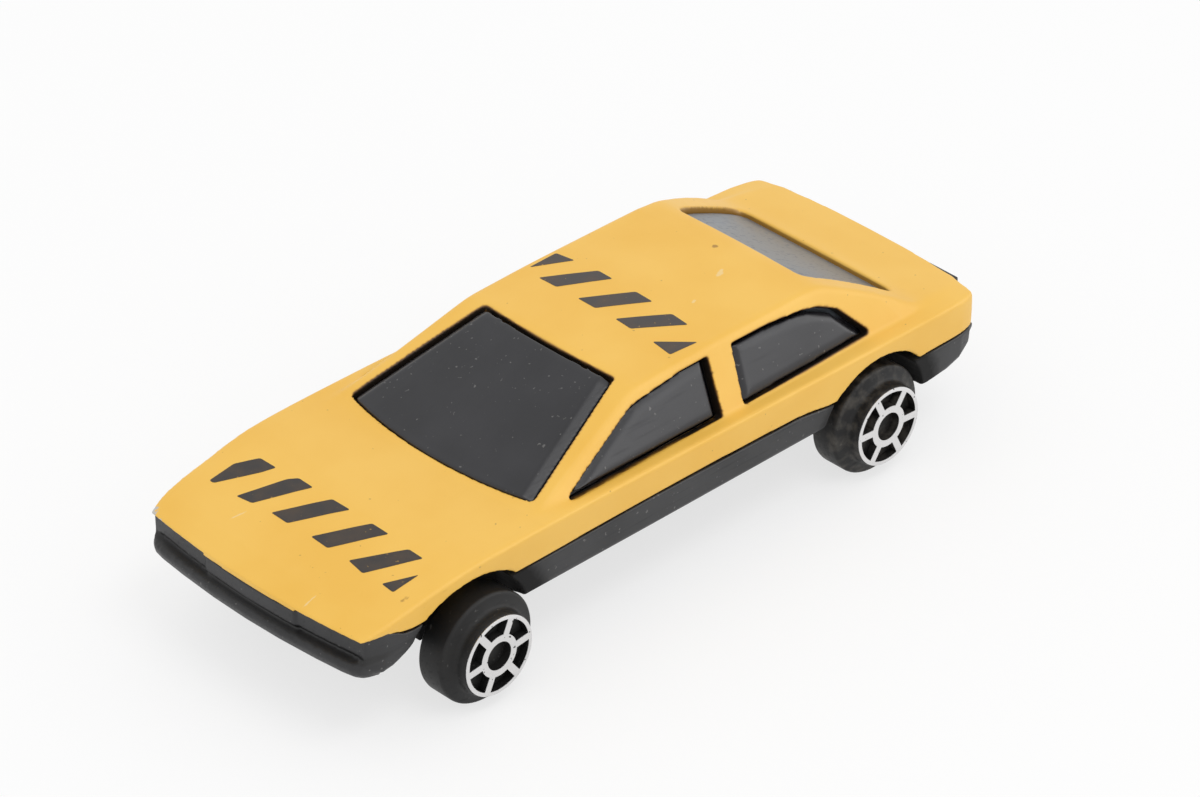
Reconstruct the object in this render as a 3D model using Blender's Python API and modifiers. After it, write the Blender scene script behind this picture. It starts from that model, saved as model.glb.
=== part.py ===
"""Die-cast sports car, about 73 mm long: shell, window moulding, base, two wheelsets.

Axes: +X to the nose, +Y to the car's left, +Z up, ground at zero.
"""

import math

import bmesh
import bpy
from mathutils import Matrix, Vector

MM = 0.001

# Driving dimensions
WHEELBASE = 46.6 * MM
TYRE_RADIUS = 5.05 * MM
FACE_TRACK = 29.8 * MM
END_FLOAT = 0.5 * MM
SHELL_WALL = 1.2 * MM
SEAM_GAP = 0.2 * MM
FIT_GAP = 0.3 * MM
PANE_GAP = 0.26 * MM
PANE_DEPTH = 0.12 * MM
REAR_PANE_DEPTH = 0.5 * MM
MOULDING_WALL = 1.0 * MM
MID_WHEELBASE = -0.32 * MM

# Guide lines of the casting from nose to tail, (x, y, z) in millimetres
LOWER_EDGE = (
    (35.6, 12.15, 10.62), (34.9, 12.5, 10.62), (33.4, 12.75, 10.62), (30.4, 13.1, 10.2),
    (18.4, 13.35, 10.25), (4.0, 13.4, 10.4), (-13.6, 13.4, 10.1), (-17.5, 13.4, 9.5),
    (-29.3, 13.3, 9.3), (-33.6, 13.2, 9.3), (-34.9, 12.98, 9.3), (-35.4, 12.5, 9.3),
)
SHOULDER = (
    (35.6, 12.3, 11.05), (34.9, 12.65, 11.35), (33.5, 12.95, 11.8), (31.5, 13.2, 12.25),
    (29.5, 13.4, 12.6), (27.5, 13.55, 12.95), (25.5, 13.65, 13.27), (23.0, 13.7, 13.48),
    (18.4, 13.75, 13.55), (10.0, 13.75, 13.5), (-6.0, 13.65, 13.2), (-20.0, 13.6, 12.97), (-30.0, 13.5, 12.77),
    (-33.6, 13.35, 12.65), (-34.9, 13.08, 12.6), (-35.4, 12.6, 12.52),
)
BELT = (
    (35.6, 11.1, 11.08), (33.5, 11.7, 11.85), (29.5, 12.1, 12.65), (25.5, 12.2, 13.32),
    (23.0, 12.3, 13.54), (18.4, 12.3, 13.62), (12.3, 12.3, 13.6), (-7.0, 12.3, 13.27), (-23.0, 12.1, 13.15),
    (-29.5, 12.2, 13.05), (-33.6, 11.9, 12.85), (-35.4, 11.4, 12.65),
)
RAIL = (
    (35.6, 9.0, 11.1), (33.5, 9.4, 11.9), (31.5, 9.6, 12.3), (29.5, 9.8, 12.68), (27.5, 9.9, 13.0),
    (25.5, 10.0, 13.36), (23.0, 10.2, 13.58), (18.4, 11.2, 13.68), (15.2, 11.8, 13.7), (2.6, 9.75, 18.7),
    (-6.0, 9.7, 18.9), (-17.0, 9.65, 18.85), (-19.4, 9.6, 18.7), (-24.4, 10.65, 16.35),
    (-29.5, 11.5, 13.4), (-33.6, 11.0, 13.0), (-35.4, 10.6, 12.75),
)
CENTRE = (
    (35.6, 0.0, 11.15), (33.5, 0.0, 11.95), (31.5, 0.0, 12.35), (29.5, 0.0, 12.72), (27.5, 0.0, 13.05),
    (25.5, 0.0, 13.4), (23.0, 0.0, 13.62), (18.4, 0.0, 13.74), (15.2, 0.0, 13.76), (2.6, 0.0, 19.0),
    (-6.0, 0.0, 19.2), (-17.0, 0.0, 19.1), (-19.4, 0.0, 18.95), (-29.5, 0.0, 13.55), (-33.6, 0.0, 13.1),
    (-35.4, 0.0, 12.9),
)
PLAN_BOW = (
    (35.6, 0.9), (33.5, 0.8), (15.2, 1.4), (2.6, 0.5), (-8.0, 0.0), (-29.5, 0.0), (-35.4, -0.5),
)
KINKS = (15.2, 2.6, -19.4, -29.5)
KINK_BLEND = 0.8
STATION_STEP = 1.9
NOSE_STATIONS = (35.6, 35.3, 34.9, 34.2, 33.4, 33.35)
TAIL_STATIONS = (-33.6, -34.4, -34.9, -35.2, -35.4)
SHOULDER_RADIUS = 0.3
BELT_RADIUS = 0.4
RAIL_RADIUS = 0.7
LEAST_CORNER = 0.16
EDGE_LAND = 0.25
LEAST_LEDGE = 0.3
LEAST_STEP = 0.03

# Underside of the base: station, skirt height, floor height, in millimetres
SKIRT = (
    (36.0, 9.3, 9.2), (35.62, 9.3, 9.2), (35.58, 8.55, 8.4), (35.3, 7.75, 7.6), (34.7, 7.35, 7.15),
    (33.5, 7.12, 6.85), (32.4, 7.4, 6.7), (31.4, 7.95, 6.55), (30.6, 8.45, 6.4), (28.0, 8.7, 6.1),
    (18.4, 7.35, 6.1), (-17.5, 7.35, 6.1),
    (-27.0, 6.1, 5.9), (-29.5, 5.95, 5.8), (-32.0, 6.15, 6.0), (-33.6, 6.6, 6.4), (-34.9, 7.3, 7.1),
    (-35.4, 7.9, 7.7), (-35.7, 8.6, 8.4),
)
TRAY_STATIONS = (34.9, 33.4, 30.4, 18.4, 4.0, -13.6, -17.5, -29.3, -33.6, -34.9, -35.4)
BILGE_HALF = 9.3
SKIRT_RADIUS = 0.5
BILGE_RADIUS = 0.8

# Openings of the shell, in millimetres
SCREEN_FOOT = (15.2, 10.85)
SCREEN_HEAD = (2.75, 7.65)
SCREEN_BOW = (1.4, 0.45)
REAR_BOW = (0.0, 0.0)
REAR_HEAD = (-19.5, 7.45)
REAR_FOOT = (-29.2, 9.3)
SIDE_TILT = math.radians(25.1)
SIDE_ORIGIN = (12.3, 13.12)
DOOR_LIGHT = ((13.1, 0.2), (3.7, 4.72), (2.4, 4.98), (-2.5, 5.45), (-5.65, 5.5), (-5.35, 0.2))
QUARTER_LIGHT = (
    (-7.85, 0.2), (-8.4, 5.5), (-13.0, 5.42), (-16.6, 5.1), (-18.6, 4.6), (-20.5, 3.7), (-23.4, 0.42),
)

SCREEN_CORNER = 0.3
REAR_CORNER = 1.7
LIGHT_CORNER = 0.25
LIGHT_REACH = 2.4
PANE_REACH = 2.3
PRISM_FOOT = 12.9
PRISM_HEIGHT = 9.0

# Lip of the nose between the lamp blocks, in millimetres
LIP_HALF = 5.4
LIP_DROP = 0.35
LIP_START = 33.4
LIP_END = 0.1
PANEL_SLOPE = ((36.3, 0.0), (36.85, -0.65))

# Play of the window moulding: how far each pane sits off the middle of its opening, in millimetres
SCREEN_PLAY = (0.14, 0.14)
DOOR_PLAY = (0.12, 0.14)
QUARTER_PLAY = (0.16, -0.04)
REAR_PLAY = (0.0, 0.0)

# Bumper bar under the nose: its section, then its half width and how far each place is set back
BAR_SECTION = (
    (33.6, 8.75), (35.7, 8.75), (35.98, 8.55), (36.08, 8.1), (35.92, 7.55), (35.5, 7.15), (34.7, 6.95), (33.6, 6.9),
)
BAR_PLACES = ((12.25, 0.9), (12.0, 0.42), (11.5, 0.12), (10.5, 0.02), (8.0, 0.0), (4.0, 0.0), (0.0, 0.0))

# Tail lamp blocks of the base, in millimetres
LAMP_INNER = 6.4
LAMP_OUTER = 10.1
LAMP_TOP = 12.42
LAMP_THICK = 0.36
LAMP_FOOT = 8.3
LAMP_REACH = 0.8

# Wheel arches: centre ahead of the axle and half axes, then how far the base closes in
# behind each wheel, in millimetres
ARCH_FRONT = (0.9, 7.3, 6.95)
ARCH_REAR = (0.3, 6.8, 6.6)
SILL_REACH = 0.9
TAIL_REACH = 0.85
WELL_CLEARANCE = 0.65 * MM

# Wheels
WHEEL_WIDTH = 4.15 * MM
TREAD_WIDTH = 2.75 * MM
TREAD_CHAMFER = 0.2 * MM
SIDEWALL_RISE = 0.3 * MM
HUB_RADIUS = 3.75 * MM
LAND_OUTER = 3.3 * MM
LAND_INNER = 1.94 * MM
EYE_RADIUS = 1.3 * MM
SPOKE_WIDTH = 0.66 * MM
SPOKES = 6
POCKET_DEPTH = 0.6 * MM
FOIL_THICKNESS = 0.06 * MM
FRONT_PHASE = math.radians(6.5)
REAR_PHASE = math.radians(-4.0)

# Axles and their carriers
AXLE_RADIUS = 0.7 * MM
PRESS_CLEARANCE = 0.03 * MM
BORE_DEPTH = 2.9 * MM
RUNNING_CLEARANCE = 0.08 * MM
SNAP_MOUTH = 1.2 * MM
CARRIER_LENGTH = 4.4
CARRIER_WIDTH = 3.4
CARRIER_FOOT = 3.9

# Riveting posts of the casting, in millimetres
POST_FRONT = (29.4, 12.1)
POST_REAR = (-32.4, 12.5)
POST_RADIUS = 2.0
SPIGOT_RADIUS = 1.4
RIVET_RADIUS = 2.1
RIVET_HEIGHT = 0.7
RIVET_SEAT = 0.35
FLOOR = 1.3

# Hollows of the base, moulding seats and mounting pad, in millimetres
TRAY_WALL = 1.2
WAIST_WALL = 1.4
WAIST_FLOOR = 8.3
POST_MARGIN = 3.8
SINK = 0.4
MOULDING_FOOT = 12.6
MOULDING_ENDS = (17.6, -29.8)
SEATS = (6.0, -12.0)
SEAT_HALF = 2.0
SEAT_INNER = 9.4
SEAT_OUTER = 11.2
PAD = (13.0, 6.5, 5.7)

ROUND = 48


def clear_scene():
    for obj in list(bpy.data.objects):
        bpy.data.objects.remove(obj, do_unlink=True)


def make_collection(name):
    collection = bpy.data.collections.new(name)
    bpy.context.scene.collection.children.link(collection)
    return collection


def make_material(name, colour, metallic, roughness):
    material = bpy.data.materials.new(name)
    material.use_nodes = True
    shader = material.node_tree.nodes["Principled BSDF"]
    shader.inputs["Base Color"].default_value = (*colour, 1.0)
    shader.inputs["Metallic"].default_value = metallic
    shader.inputs["Roughness"].default_value = roughness
    return material


def add_object(name, mesh, collection, material=None):
    obj = bpy.data.objects.new(name, mesh)
    collection.objects.link(obj)
    if material:
        mesh.materials.append(material)
    return obj


def add_cutter(name, mesh, collection):
    obj = add_object(name, mesh, collection)
    obj.hide_render = True
    obj.display_type = "WIRE"
    return obj


def combine(obj, other, operation):
    modifier = obj.modifiers.new(operation.title() + " " + other.name, "BOOLEAN")
    modifier.operation = operation
    modifier.solver = "EXACT"
    modifier.object = other


def cut(obj, other):
    combine(obj, other, "DIFFERENCE")


def join(obj, other):
    combine(obj, other, "UNION")


def straight(line, x):
    """The values of a guide line at one station, held constant past its ends."""
    if x >= line[0][0]:
        return line[0][1:]
    for ahead, behind in zip(line, line[1:]):
        if x >= behind[0]:
            share = (ahead[0] - x) / (ahead[0] - behind[0])
            return tuple(a + share * (b - a) for a, b in zip(ahead[1:], behind[1:]))
    return line[-1][1:]


def slope_between(first, last, item):
    return (last[item] - first[item]) / (last[0] - first[0])


def slope_at(line, index, item, beside):
    """Slope of one value at a point of a guide line; a kink keeps the slope of the run beside it."""
    own = slope_between(line[index], line[beside], item)
    other = 2 * index - beside
    if line[index][0] in KINKS or not 0 <= other < len(line):
        return own
    far = slope_between(line[index], line[other], item)
    return 2.0 * own * far / (own + far) if own * far > 0.0 else 0.0


def curved(line, x):
    """The values of a guide line at one station, on a curve that bends only at the kinks."""
    for index in range(len(line) - 1):
        ahead, behind = line[index], line[index + 1]
        if ahead[0] >= x >= behind[0]:
            run = behind[0] - ahead[0]
            t = (x - ahead[0]) / run
            values = []
            for item in range(1, len(ahead)):
                start = slope_at(line, index, item, index + 1) * run
                end = slope_at(line, index + 1, item, index) * run
                rise = behind[item] - ahead[item]
                values.append(ahead[item] + t * (start + t * (3.0 * rise - 2.0 * start - end
                                                              + t * (start + end - 2.0 * rise))))
            return tuple(values)
    return straight(line, x)


def along(line, x):
    """The values of a guide line at one station, its kinks rounded."""
    reach = max(0.0, min(KINK_BLEND, line[0][0] - x, x - line[-1][0]))
    near = [curved(line, x + share * reach) for share in (-1.0, 0.0, 0.0, 1.0)]
    return tuple(sum(values) / len(near) for values in zip(*near))


def all_stations():
    """Places of the sections from nose to tail, closer together at the kinks."""
    keys = set(NOSE_STATIONS + TAIL_STATIONS)
    for kink in KINKS:
        keys.update(kink + share * KINK_BLEND for share in (-1.0, -0.5, 0.0, 0.5, 1.0))
    keys = sorted(keys, reverse=True)
    places = [keys[0]]
    for place in keys[1:]:
        count = max(1, math.ceil((places[-1] - place) / STATION_STEP))
        start = places[-1]
        places += [start + (place - start) * step / count for step in range(1, count + 1)]
    return places


def offset_corners(corners, depth):
    """Half section moved inward by depth; the last corner is on the middle plane."""
    moved = []
    for index, corner in enumerate(corners):
        normals = []
        for first, last in ((index - 1, index), (index, index + 1)):
            if first >= 0 and last < len(corners):
                run = (corners[last] - corners[first]).normalized()
                normals.append(Vector((-run.y, run.x)))
        if index == len(corners) - 1:
            moved.append(corner + Vector((0.0, normals[0].y / abs(normals[0].y))) * depth)
        elif len(normals) == 1:
            moved.append(corner + normals[0] * depth)
        else:
            total = normals[0] + normals[1]
            moved.append(corner + total * (depth / (1.0 + normals[0].dot(normals[1]))))
    return moved


def round_corner(before, corner, after, radius):
    """Three points that round a corner of a section."""
    into = (before - corner).normalized()
    out = (after - corner).normalized()
    half = 0.5 * into.angle(out)
    reach = max(LEAST_CORNER, radius / max(math.tan(half), 0.05))
    start = corner + into * min(reach, 0.4 * (before - corner).length)
    end = corner + out * min(reach, 0.4 * (after - corner).length)
    return [start, 0.25 * start + 0.5 * corner + 0.25 * end, end]


def loft_mesh(name, rows):
    """Closed loft; each row is an outer line and a closing line of equal counts, in millimetres."""
    count = len(rows[0][0])
    vertices = [Vector(point) * MM for row in rows for line in row for point in line]
    faces = []
    for index in range(len(rows) - 1):
        here = index * 2 * count
        there = here + 2 * count
        for step in range(count - 1):
            faces.append((here + step, here + step + 1, there + step + 1, there + step))
            low = here + count + step
            faces.append((low + 1, low, low + 2 * count, low + 2 * count + 1))
        faces.append((here + count, here, there, there + count))
        last = count - 1
        faces.append((here + last, here + count + last, there + count + last, there + last))
    for base in (0, (len(rows) - 1) * 2 * count):
        for step in range(count - 1):
            low = base + count + step
            faces.append((base + step, low, low + 1, base + step + 1))
    mesh = bpy.data.meshes.new(name)
    mesh.from_pydata([vertex + Vector((MID_WHEELBASE, 0.0, 0.0)) for vertex in vertices], [], faces)
    shape = bmesh.new()
    shape.from_mesh(mesh)
    bmesh.ops.recalc_face_normals(shape, faces=shape.faces)
    shape.to_mesh(mesh)
    shape.free()
    return mesh


def bowed(station, y):
    half = along(SHOULDER, station)[0]
    return station + along(PLAN_BOW, station)[0] * (1.0 - (y / half) ** 2)


def mirrored_line(half, station):
    full = [(-point.x, point.y) for point in half] + [(point.x, point.y) for point in reversed(half[:-1])]
    return [(bowed(station, y), y, z) for y, z in full]


def closing_line(line, station, height):
    """Level line that closes a section, straight under or over its outer line and never folding back."""
    spread = []
    for _, y, _ in line[: len(line) // 2]:
        spread.append(max(y, spread[-1] + LEAST_STEP) if spread else y)
    full = spread + [0.0] + [-y for y in reversed(spread)]
    return [(bowed(station, y), y, height) for y in full]


def stations_between(front, rear, depth):
    inside = [x for x in all_stations() if rear + depth + LEAST_CORNER < x < front - depth - LEAST_CORNER]
    return [front - depth] + inside + [rear + depth]


def body_form(name, depth, drop, lip=0.0):
    """The car's outer form moved inward by depth, its foot lowered by drop, and by lip at the nose."""
    rows = []
    places = stations_between(NOSE_STATIONS[0], TAIL_STATIONS[-1], depth)
    for station in places:
        edge = Vector(along(LOWER_EDGE, station))
        shoulder = Vector(along(SHOULDER, station))
        land = edge + (shoulder - edge).normalized() * min(EDGE_LAND, 0.5 * (shoulder - edge).length)
        corners = [land, shoulder]
        corners += [Vector(along(line, station)) for line in (BELT, RAIL, CENTRE)]
        if depth:
            corners = offset_corners(corners, depth)
            if corners[1].x - corners[2].x < LEAST_LEDGE:
                corners[2] = corners[1].lerp(corners[3], 0.2)
        if station in (places[0], places[-1]):
            corners[0].x = corners[1].x
        half = [corners[0]]
        half += round_corner(corners[0], corners[1], corners[2], max(SHOULDER_RADIUS - depth, 0.0))
        half += round_corner(corners[1], corners[2], corners[3], BELT_RADIUS + depth)
        half += round_corner(corners[2], corners[3], corners[4], max(RAIL_RADIUS - depth, 0.1))
        rail = half[-1]
        middle = corners[4]
        for share in (0.66, 0.33):
            half.append(Vector((rail.x * share, middle.y - (middle.y - rail.y) * share * share)))
        half.append(middle)
        foot = edge.y - drop - (lip if station >= LIP_START else 0.0)
        if drop:
            half[0] = Vector((half[0].x, min(half[0].y, half[1].y - LEAST_CORNER)))
        top = mirrored_line(half, station)
        rows.append((top, closing_line(top, station, foot)))
    return loft_mesh(name, rows)


def tray_form(name):
    """The solid block of the base under the seam."""
    keys = [row[0] for row in SKIRT] + [x for x in TRAY_STATIONS if SKIRT[-1][0] < x < SKIRT[1][0]]
    rows = []
    for station in sorted(set(keys), reverse=True):
        half_width, seam = along(LOWER_EDGE, station)
        skirt, floor = straight(SKIRT, station)
        rim = seam - SEAM_GAP / MM
        corners = [
            Vector((half_width, rim - EDGE_LAND)),
            Vector((half_width - 0.1, skirt)),
            Vector((min(BILGE_HALF, half_width - 1.5), floor)),
            Vector((0.0, floor)),
        ]
        half = [corners[0]]
        half += round_corner(corners[0], corners[1], corners[2], SKIRT_RADIUS)
        half += round_corner(corners[1], corners[2], corners[3], BILGE_RADIUS)
        half += [half[-1].lerp(corners[3], share) for share in (1.0 / 3.0, 2.0 / 3.0, 1.0)]
        low = mirrored_line(half, station)
        rows.append((low, closing_line(low, station, rim)))
    return loft_mesh(name, rows)


def box_mesh(name, low, high):
    """Axis-aligned block between two corners in millimetres."""
    shape = bmesh.new()
    bmesh.ops.create_cube(shape, size=1.0)
    size = (Vector(high) - Vector(low)) * MM
    middle = (Vector(high) + Vector(low)) * (0.5 * MM) + Vector((MID_WHEELBASE, 0.0, 0.0))
    bmesh.ops.transform(shape, matrix=Matrix.Translation(middle) @ Matrix.Diagonal((*size, 1.0)), verts=shape.verts)
    mesh = bpy.data.meshes.new(name)
    shape.to_mesh(mesh)
    shape.free()
    return mesh


def prism_mesh(name, points, direction):
    """Outline swept along a direction; points and direction in metres."""
    shape = bmesh.new()
    face = shape.faces.new([shape.verts.new(point) for point in points])
    swept = bmesh.ops.extrude_face_region(shape, geom=[face])
    moved = [item for item in swept["geom"] if isinstance(item, bmesh.types.BMVert)]
    bmesh.ops.translate(shape, verts=moved, vec=direction)
    bmesh.ops.recalc_face_normals(shape, faces=shape.faces)
    mesh = bpy.data.meshes.new(name)
    shape.to_mesh(mesh)
    shape.free()
    return mesh


def rounded_outline(points, radius, shrink=0.0):
    """Closed outline, counter-clockwise, moved inward by shrink, corners rounded; millimetres."""
    points = [Vector(point) for point in points]
    moved = []
    for index, corner in enumerate(points):
        before = (corner - points[index - 1]).normalized()
        after = (points[(index + 1) % len(points)] - corner).normalized()
        first = Vector((-before.y, before.x))
        second = Vector((-after.y, after.x))
        moved.append(corner + (first + second) * (shrink / (1.0 + first.dot(second))))
    outline = []
    for index, corner in enumerate(moved):
        outline += round_corner(moved[index - 1], corner, moved[(index + 1) % len(moved)], radius)
    return outline


def plan_prism(name, front, rear, bows, corner, shrink, play=(0.0, 0.0)):
    """Upright prism of a screen opening, its front and rear edges bowed; millimetres."""
    steps = 8
    outline = []
    for (x, half), bow, turn in ((front, bows[0], 1.0), (rear, bows[1], -1.0)):
        for step in range(steps + 1):
            y = turn * half * (2.0 * step / steps - 1.0)
            outline.append((x + bow * (1.0 - (y / half) ** 2), y))
    points = [
        ((point.x + play[0]) * MM + MID_WHEELBASE, (point.y + play[1]) * MM, PRISM_FOOT * MM)
        for point in rounded_outline(outline, corner, shrink)
    ]
    return prism_mesh(name, points, (0.0, 0.0, PRISM_HEIGHT * MM))


def side_prism(name, light, side, shrink, reach, play=(0.0, 0.0)):
    """Prism of a side window, swept along the normal of the leaning side; millimetres."""
    turn = Matrix.Rotation(side * SIDE_TILT, 3, "X")
    origin = Vector((MID_WHEELBASE, side * SIDE_ORIGIN[0] * MM, SIDE_ORIGIN[1] * MM))
    out = turn @ Vector((0.0, side, 0.0))
    outline = list(light)
    middle = sum((Vector(point) for point in outline), Vector((0.0, 0.0))) / len(outline)
    outline.sort(key=lambda point: math.atan2(point[1] - middle.y, point[0] - middle.x))
    points = [
        origin + turn @ Vector(((point.x + play[0]) * MM, 0.0, (point.y + play[1]) * MM)) - out * (reach * MM)
        for point in rounded_outline(outline, LIGHT_CORNER, shrink)
    ]
    return prism_mesh(name, points, out * (2.0 * reach * MM))


def well_wall():
    """Inner wall of the wheel wells, clear of the wheels at either end of their float."""
    return 0.5 * FACE_TRACK - WHEEL_WIDTH - END_FLOAT - WELL_CLEARANCE


def arch_places(front_reach=0.0, rear_reach=0.0):
    """Each arch as its centre in metres, then its half axes; its rear side comes forward by the reach."""
    ahead, behind = 0.5 * WHEELBASE, -0.5 * WHEELBASE
    places = []
    for label, axle, (offset, half_x, half_z), reach in (
        ("front", ahead, ARCH_FRONT, front_reach), ("rear", behind, ARCH_REAR, rear_reach),
    ):
        places.append((label, (axle + (offset + 0.5 * reach) * MM, half_x - 0.5 * reach, half_z)))
    return places


def lamp_notch(name, side):
    """Block that takes the lip away over one lamp block."""
    low, high = sorted((side * LIP_HALF, side * 20.0))
    seam = along(LOWER_EDGE, LIP_START)[1]
    return box_mesh(name, (LIP_START - LIP_END, low, seam - 3.0), (40.0, high, seam))


def panel_notch(name):
    """Block that lowers the base under the lip and slopes its front panel."""
    gap = SEAM_GAP / MM
    half = LIP_HALF + gap
    rim = along(LOWER_EDGE, LIP_START)[1] - LIP_DROP - gap
    (top, rise), (front, fall) = PANEL_SLOPE
    outline = (
        (LIP_START - 1.0, rim + rise), (top, rim + rise), (front, rim + fall),
        (front + 3.0, rim + fall), (front + 3.0, rim + 3.0), (LIP_START - 1.0, rim + 3.0),
    )
    points = [(x * MM + MID_WHEELBASE, -half * MM, z * MM) for x, z in outline]
    return prism_mesh(name, points, (0.0, 2.0 * half * MM, 0.0))


def bar_mesh(name):
    """Rounded bumper bar, its section swept across the bowed nose."""
    places = [(-y, back) for y, back in BAR_PLACES] + [(y, back) for y, back in reversed(BAR_PLACES[:-1])]
    shape = bmesh.new()
    rings = []
    for y, back in places:
        ahead = bowed(NOSE_STATIONS[0], y) - NOSE_STATIONS[0] - back
        last = len(BAR_SECTION) - 1
        ring = []
        for index, (x, z) in enumerate(BAR_SECTION):
            move = ahead if 0 < index < last else 0.0
            ring.append(shape.verts.new(Vector((x + move, y, z)) * MM + Vector((MID_WHEELBASE, 0.0, 0.0))))
        rings.append(ring)
    for here, there in zip(rings, rings[1:]):
        for index in range(len(here)):
            after = (index + 1) % len(here)
            shape.faces.new((here[index], here[after], there[after], there[index]))
    shape.faces.new(rings[0])
    shape.faces.new(rings[-1])
    bmesh.ops.recalc_face_normals(shape, faces=shape.faces)
    mesh = bpy.data.meshes.new(name)
    shape.to_mesh(mesh)
    shape.free()
    return mesh


def lamp_mesh(name, side):
    """Tail lamp block standing behind the casting's rear face, its foot in the base."""
    tail = min(bowed(TAIL_STATIONS[-1], y) for y in (LAMP_INNER, LAMP_OUTER))
    face = tail - SEAM_GAP / MM
    back = face - LAMP_THICK
    rim = along(LOWER_EDGE, TAIL_STATIONS[-1])[1] - 1.5 * SEAM_GAP / MM
    outline = (
        (back, LAMP_FOOT), (face + LAMP_REACH, LAMP_FOOT), (face + LAMP_REACH, rim), (face, rim),
        (face, LAMP_TOP), (back, LAMP_TOP),
    )
    low, high = sorted((side * LAMP_INNER, side * LAMP_OUTER))
    points = [(x * MM + MID_WHEELBASE, low * MM, z * MM) for x, z in outline]
    return prism_mesh(name, points, (0.0, (high - low) * MM, 0.0))


def arch_mesh(name, arch, side):
    """Elliptic cylinder of a wheel arch, on one side of the car."""
    centre, half_x, half_z = arch
    points = []
    for step in range(ROUND):
        angle = 2.0 * math.pi * step / ROUND
        x = centre + half_x * MM * math.cos(angle) + MID_WHEELBASE
        points.append((x, side * well_wall(), TYRE_RADIUS + half_z * MM * math.sin(angle)))
    return prism_mesh(name, points, (0.0, side * FACE_TRACK, 0.0))


def lathe(name, profile, collection, material=None):
    """Solid of revolution about its own Z; the profile runs (radius, height) in metres."""
    mesh = bpy.data.meshes.new(name)
    edges = [(index, index + 1) for index in range(len(profile) - 1)]
    mesh.from_pydata([(radius, 0.0, height) for radius, height in reversed(profile)], edges, [])
    obj = add_object(name, mesh, collection, material)
    screw = obj.modifiers.new("Turn", "SCREW")
    screw.axis = "Z"
    screw.angle = 2.0 * math.pi
    screw.steps = ROUND
    screw.render_steps = ROUND
    screw.use_merge_vertices = True
    screw.merge_threshold = 0.00001
    screw.use_normal_calculate = False
    screw.use_smooth_shade = False
    return obj


def pocket_mesh(name, outer):
    """The six pockets and the eye of a wheel face, sunk from the face along -Z."""
    shape = bmesh.new()
    bmesh.ops.create_cone(
        shape, cap_ends=True, segments=ROUND // 2, radius1=EYE_RADIUS, radius2=EYE_RADIUS, depth=2.0 * outer
    )
    arc_steps = 5
    for spoke in range(SPOKES):
        middle = (spoke + 0.5) * 2.0 * math.pi / SPOKES
        corners = []
        for radius, order in ((LAND_INNER, 1), (LAND_OUTER, -1)):
            half = math.pi / SPOKES - math.asin(0.5 * SPOKE_WIDTH / radius)
            for step in range(arc_steps)[::order]:
                angle = middle + half * (2.0 * step / (arc_steps - 1) - 1.0)
                corners.append((radius * math.cos(angle), radius * math.sin(angle), -outer))
        face = shape.faces.new([shape.verts.new(corner) for corner in corners])
        swept = bmesh.ops.extrude_face_region(shape, geom=[face])
        moved = [item for item in swept["geom"] if isinstance(item, bmesh.types.BMVert)]
        bmesh.ops.translate(shape, verts=moved, vec=(0.0, 0.0, 2.0 * outer))
    bmesh.ops.recalc_face_normals(shape, faces=shape.faces)
    mesh = bpy.data.meshes.new(name)
    shape.to_mesh(mesh)
    shape.free()
    return mesh


def post_profile(top, floor):
    """Riveting post from the rivet face up into the casting; floor is the base's underside there."""
    seat = floor + RIVET_SEAT + RIVET_HEIGHT
    upper = seat + FLOOR
    return [
        (0.0, seat - RIVET_HEIGHT), (RIVET_RADIUS, seat - RIVET_HEIGHT), (RIVET_RADIUS, seat),
        (SPIGOT_RADIUS, seat), (SPIGOT_RADIUS, upper), (POST_RADIUS, upper), (POST_RADIUS, top), (0.0, top),
    ]


def hole_profile(floor):
    """Stepped hole of the base around a post, and the pocket above its floor."""
    seat = floor + RIVET_SEAT + RIVET_HEIGHT
    upper = seat + FLOOR
    wide = RIVET_RADIUS + FIT_GAP / MM
    close = SPIGOT_RADIUS + PRESS_CLEARANCE / MM
    above = POST_RADIUS + FIT_GAP / MM
    return [
        (0.0, floor - 2.0), (wide, floor - 2.0), (wide, seat), (close, seat), (close, upper),
        (above, upper), (above, upper + 8.0), (0.0, upper + 8.0),
    ]


def metres(profile):
    return [(radius * MM, height * MM) for radius, height in profile]


def build_shell(parts, cutters, paint):
    shell = add_object("body_shell", body_form("body_shell", 0.0, 0.0, LIP_DROP), parts, paint)
    cut(shell, add_cutter("shell_hollow", body_form("shell_hollow", SHELL_WALL / MM, 8.0), cutters))
    cut(shell, add_cutter("screen_opening", plan_prism("screen_opening", SCREEN_FOOT, SCREEN_HEAD,
                                                       SCREEN_BOW, SCREEN_CORNER, 0.0), cutters))
    cut(shell, add_cutter("rear_opening", plan_prism("rear_opening", REAR_HEAD, REAR_FOOT,
                                                     REAR_BOW, REAR_CORNER, 0.0), cutters))
    for side, word in ((1.0, "left"), (-1.0, "right")):
        for light, label in ((DOOR_LIGHT, "door"), (QUARTER_LIGHT, "quarter")):
            name = label + "_opening_" + word
            cut(shell, add_cutter(name, side_prism(name, light, side, 0.0, LIGHT_REACH), cutters))
        name = "lamp_notch_" + word
        cut(shell, add_cutter(name, lamp_notch(name, side), cutters))
        for label, arch in arch_places():
            name = "arch_" + label + "_" + word
            cut(shell, add_cutter(name, arch_mesh(name, arch, side), cutters))
    for label, (x, top) in (("front", POST_FRONT), ("rear", POST_REAR)):
        floor = straight(SKIRT, x)[1]
        post = lathe("post_" + label, metres(post_profile(top, floor)), cutters)
        post.hide_render = True
        post.display_type = "WIRE"
        post.location = (x * MM + MID_WHEELBASE, 0.0, 0.0)
        join(shell, post)
    return shell


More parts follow.
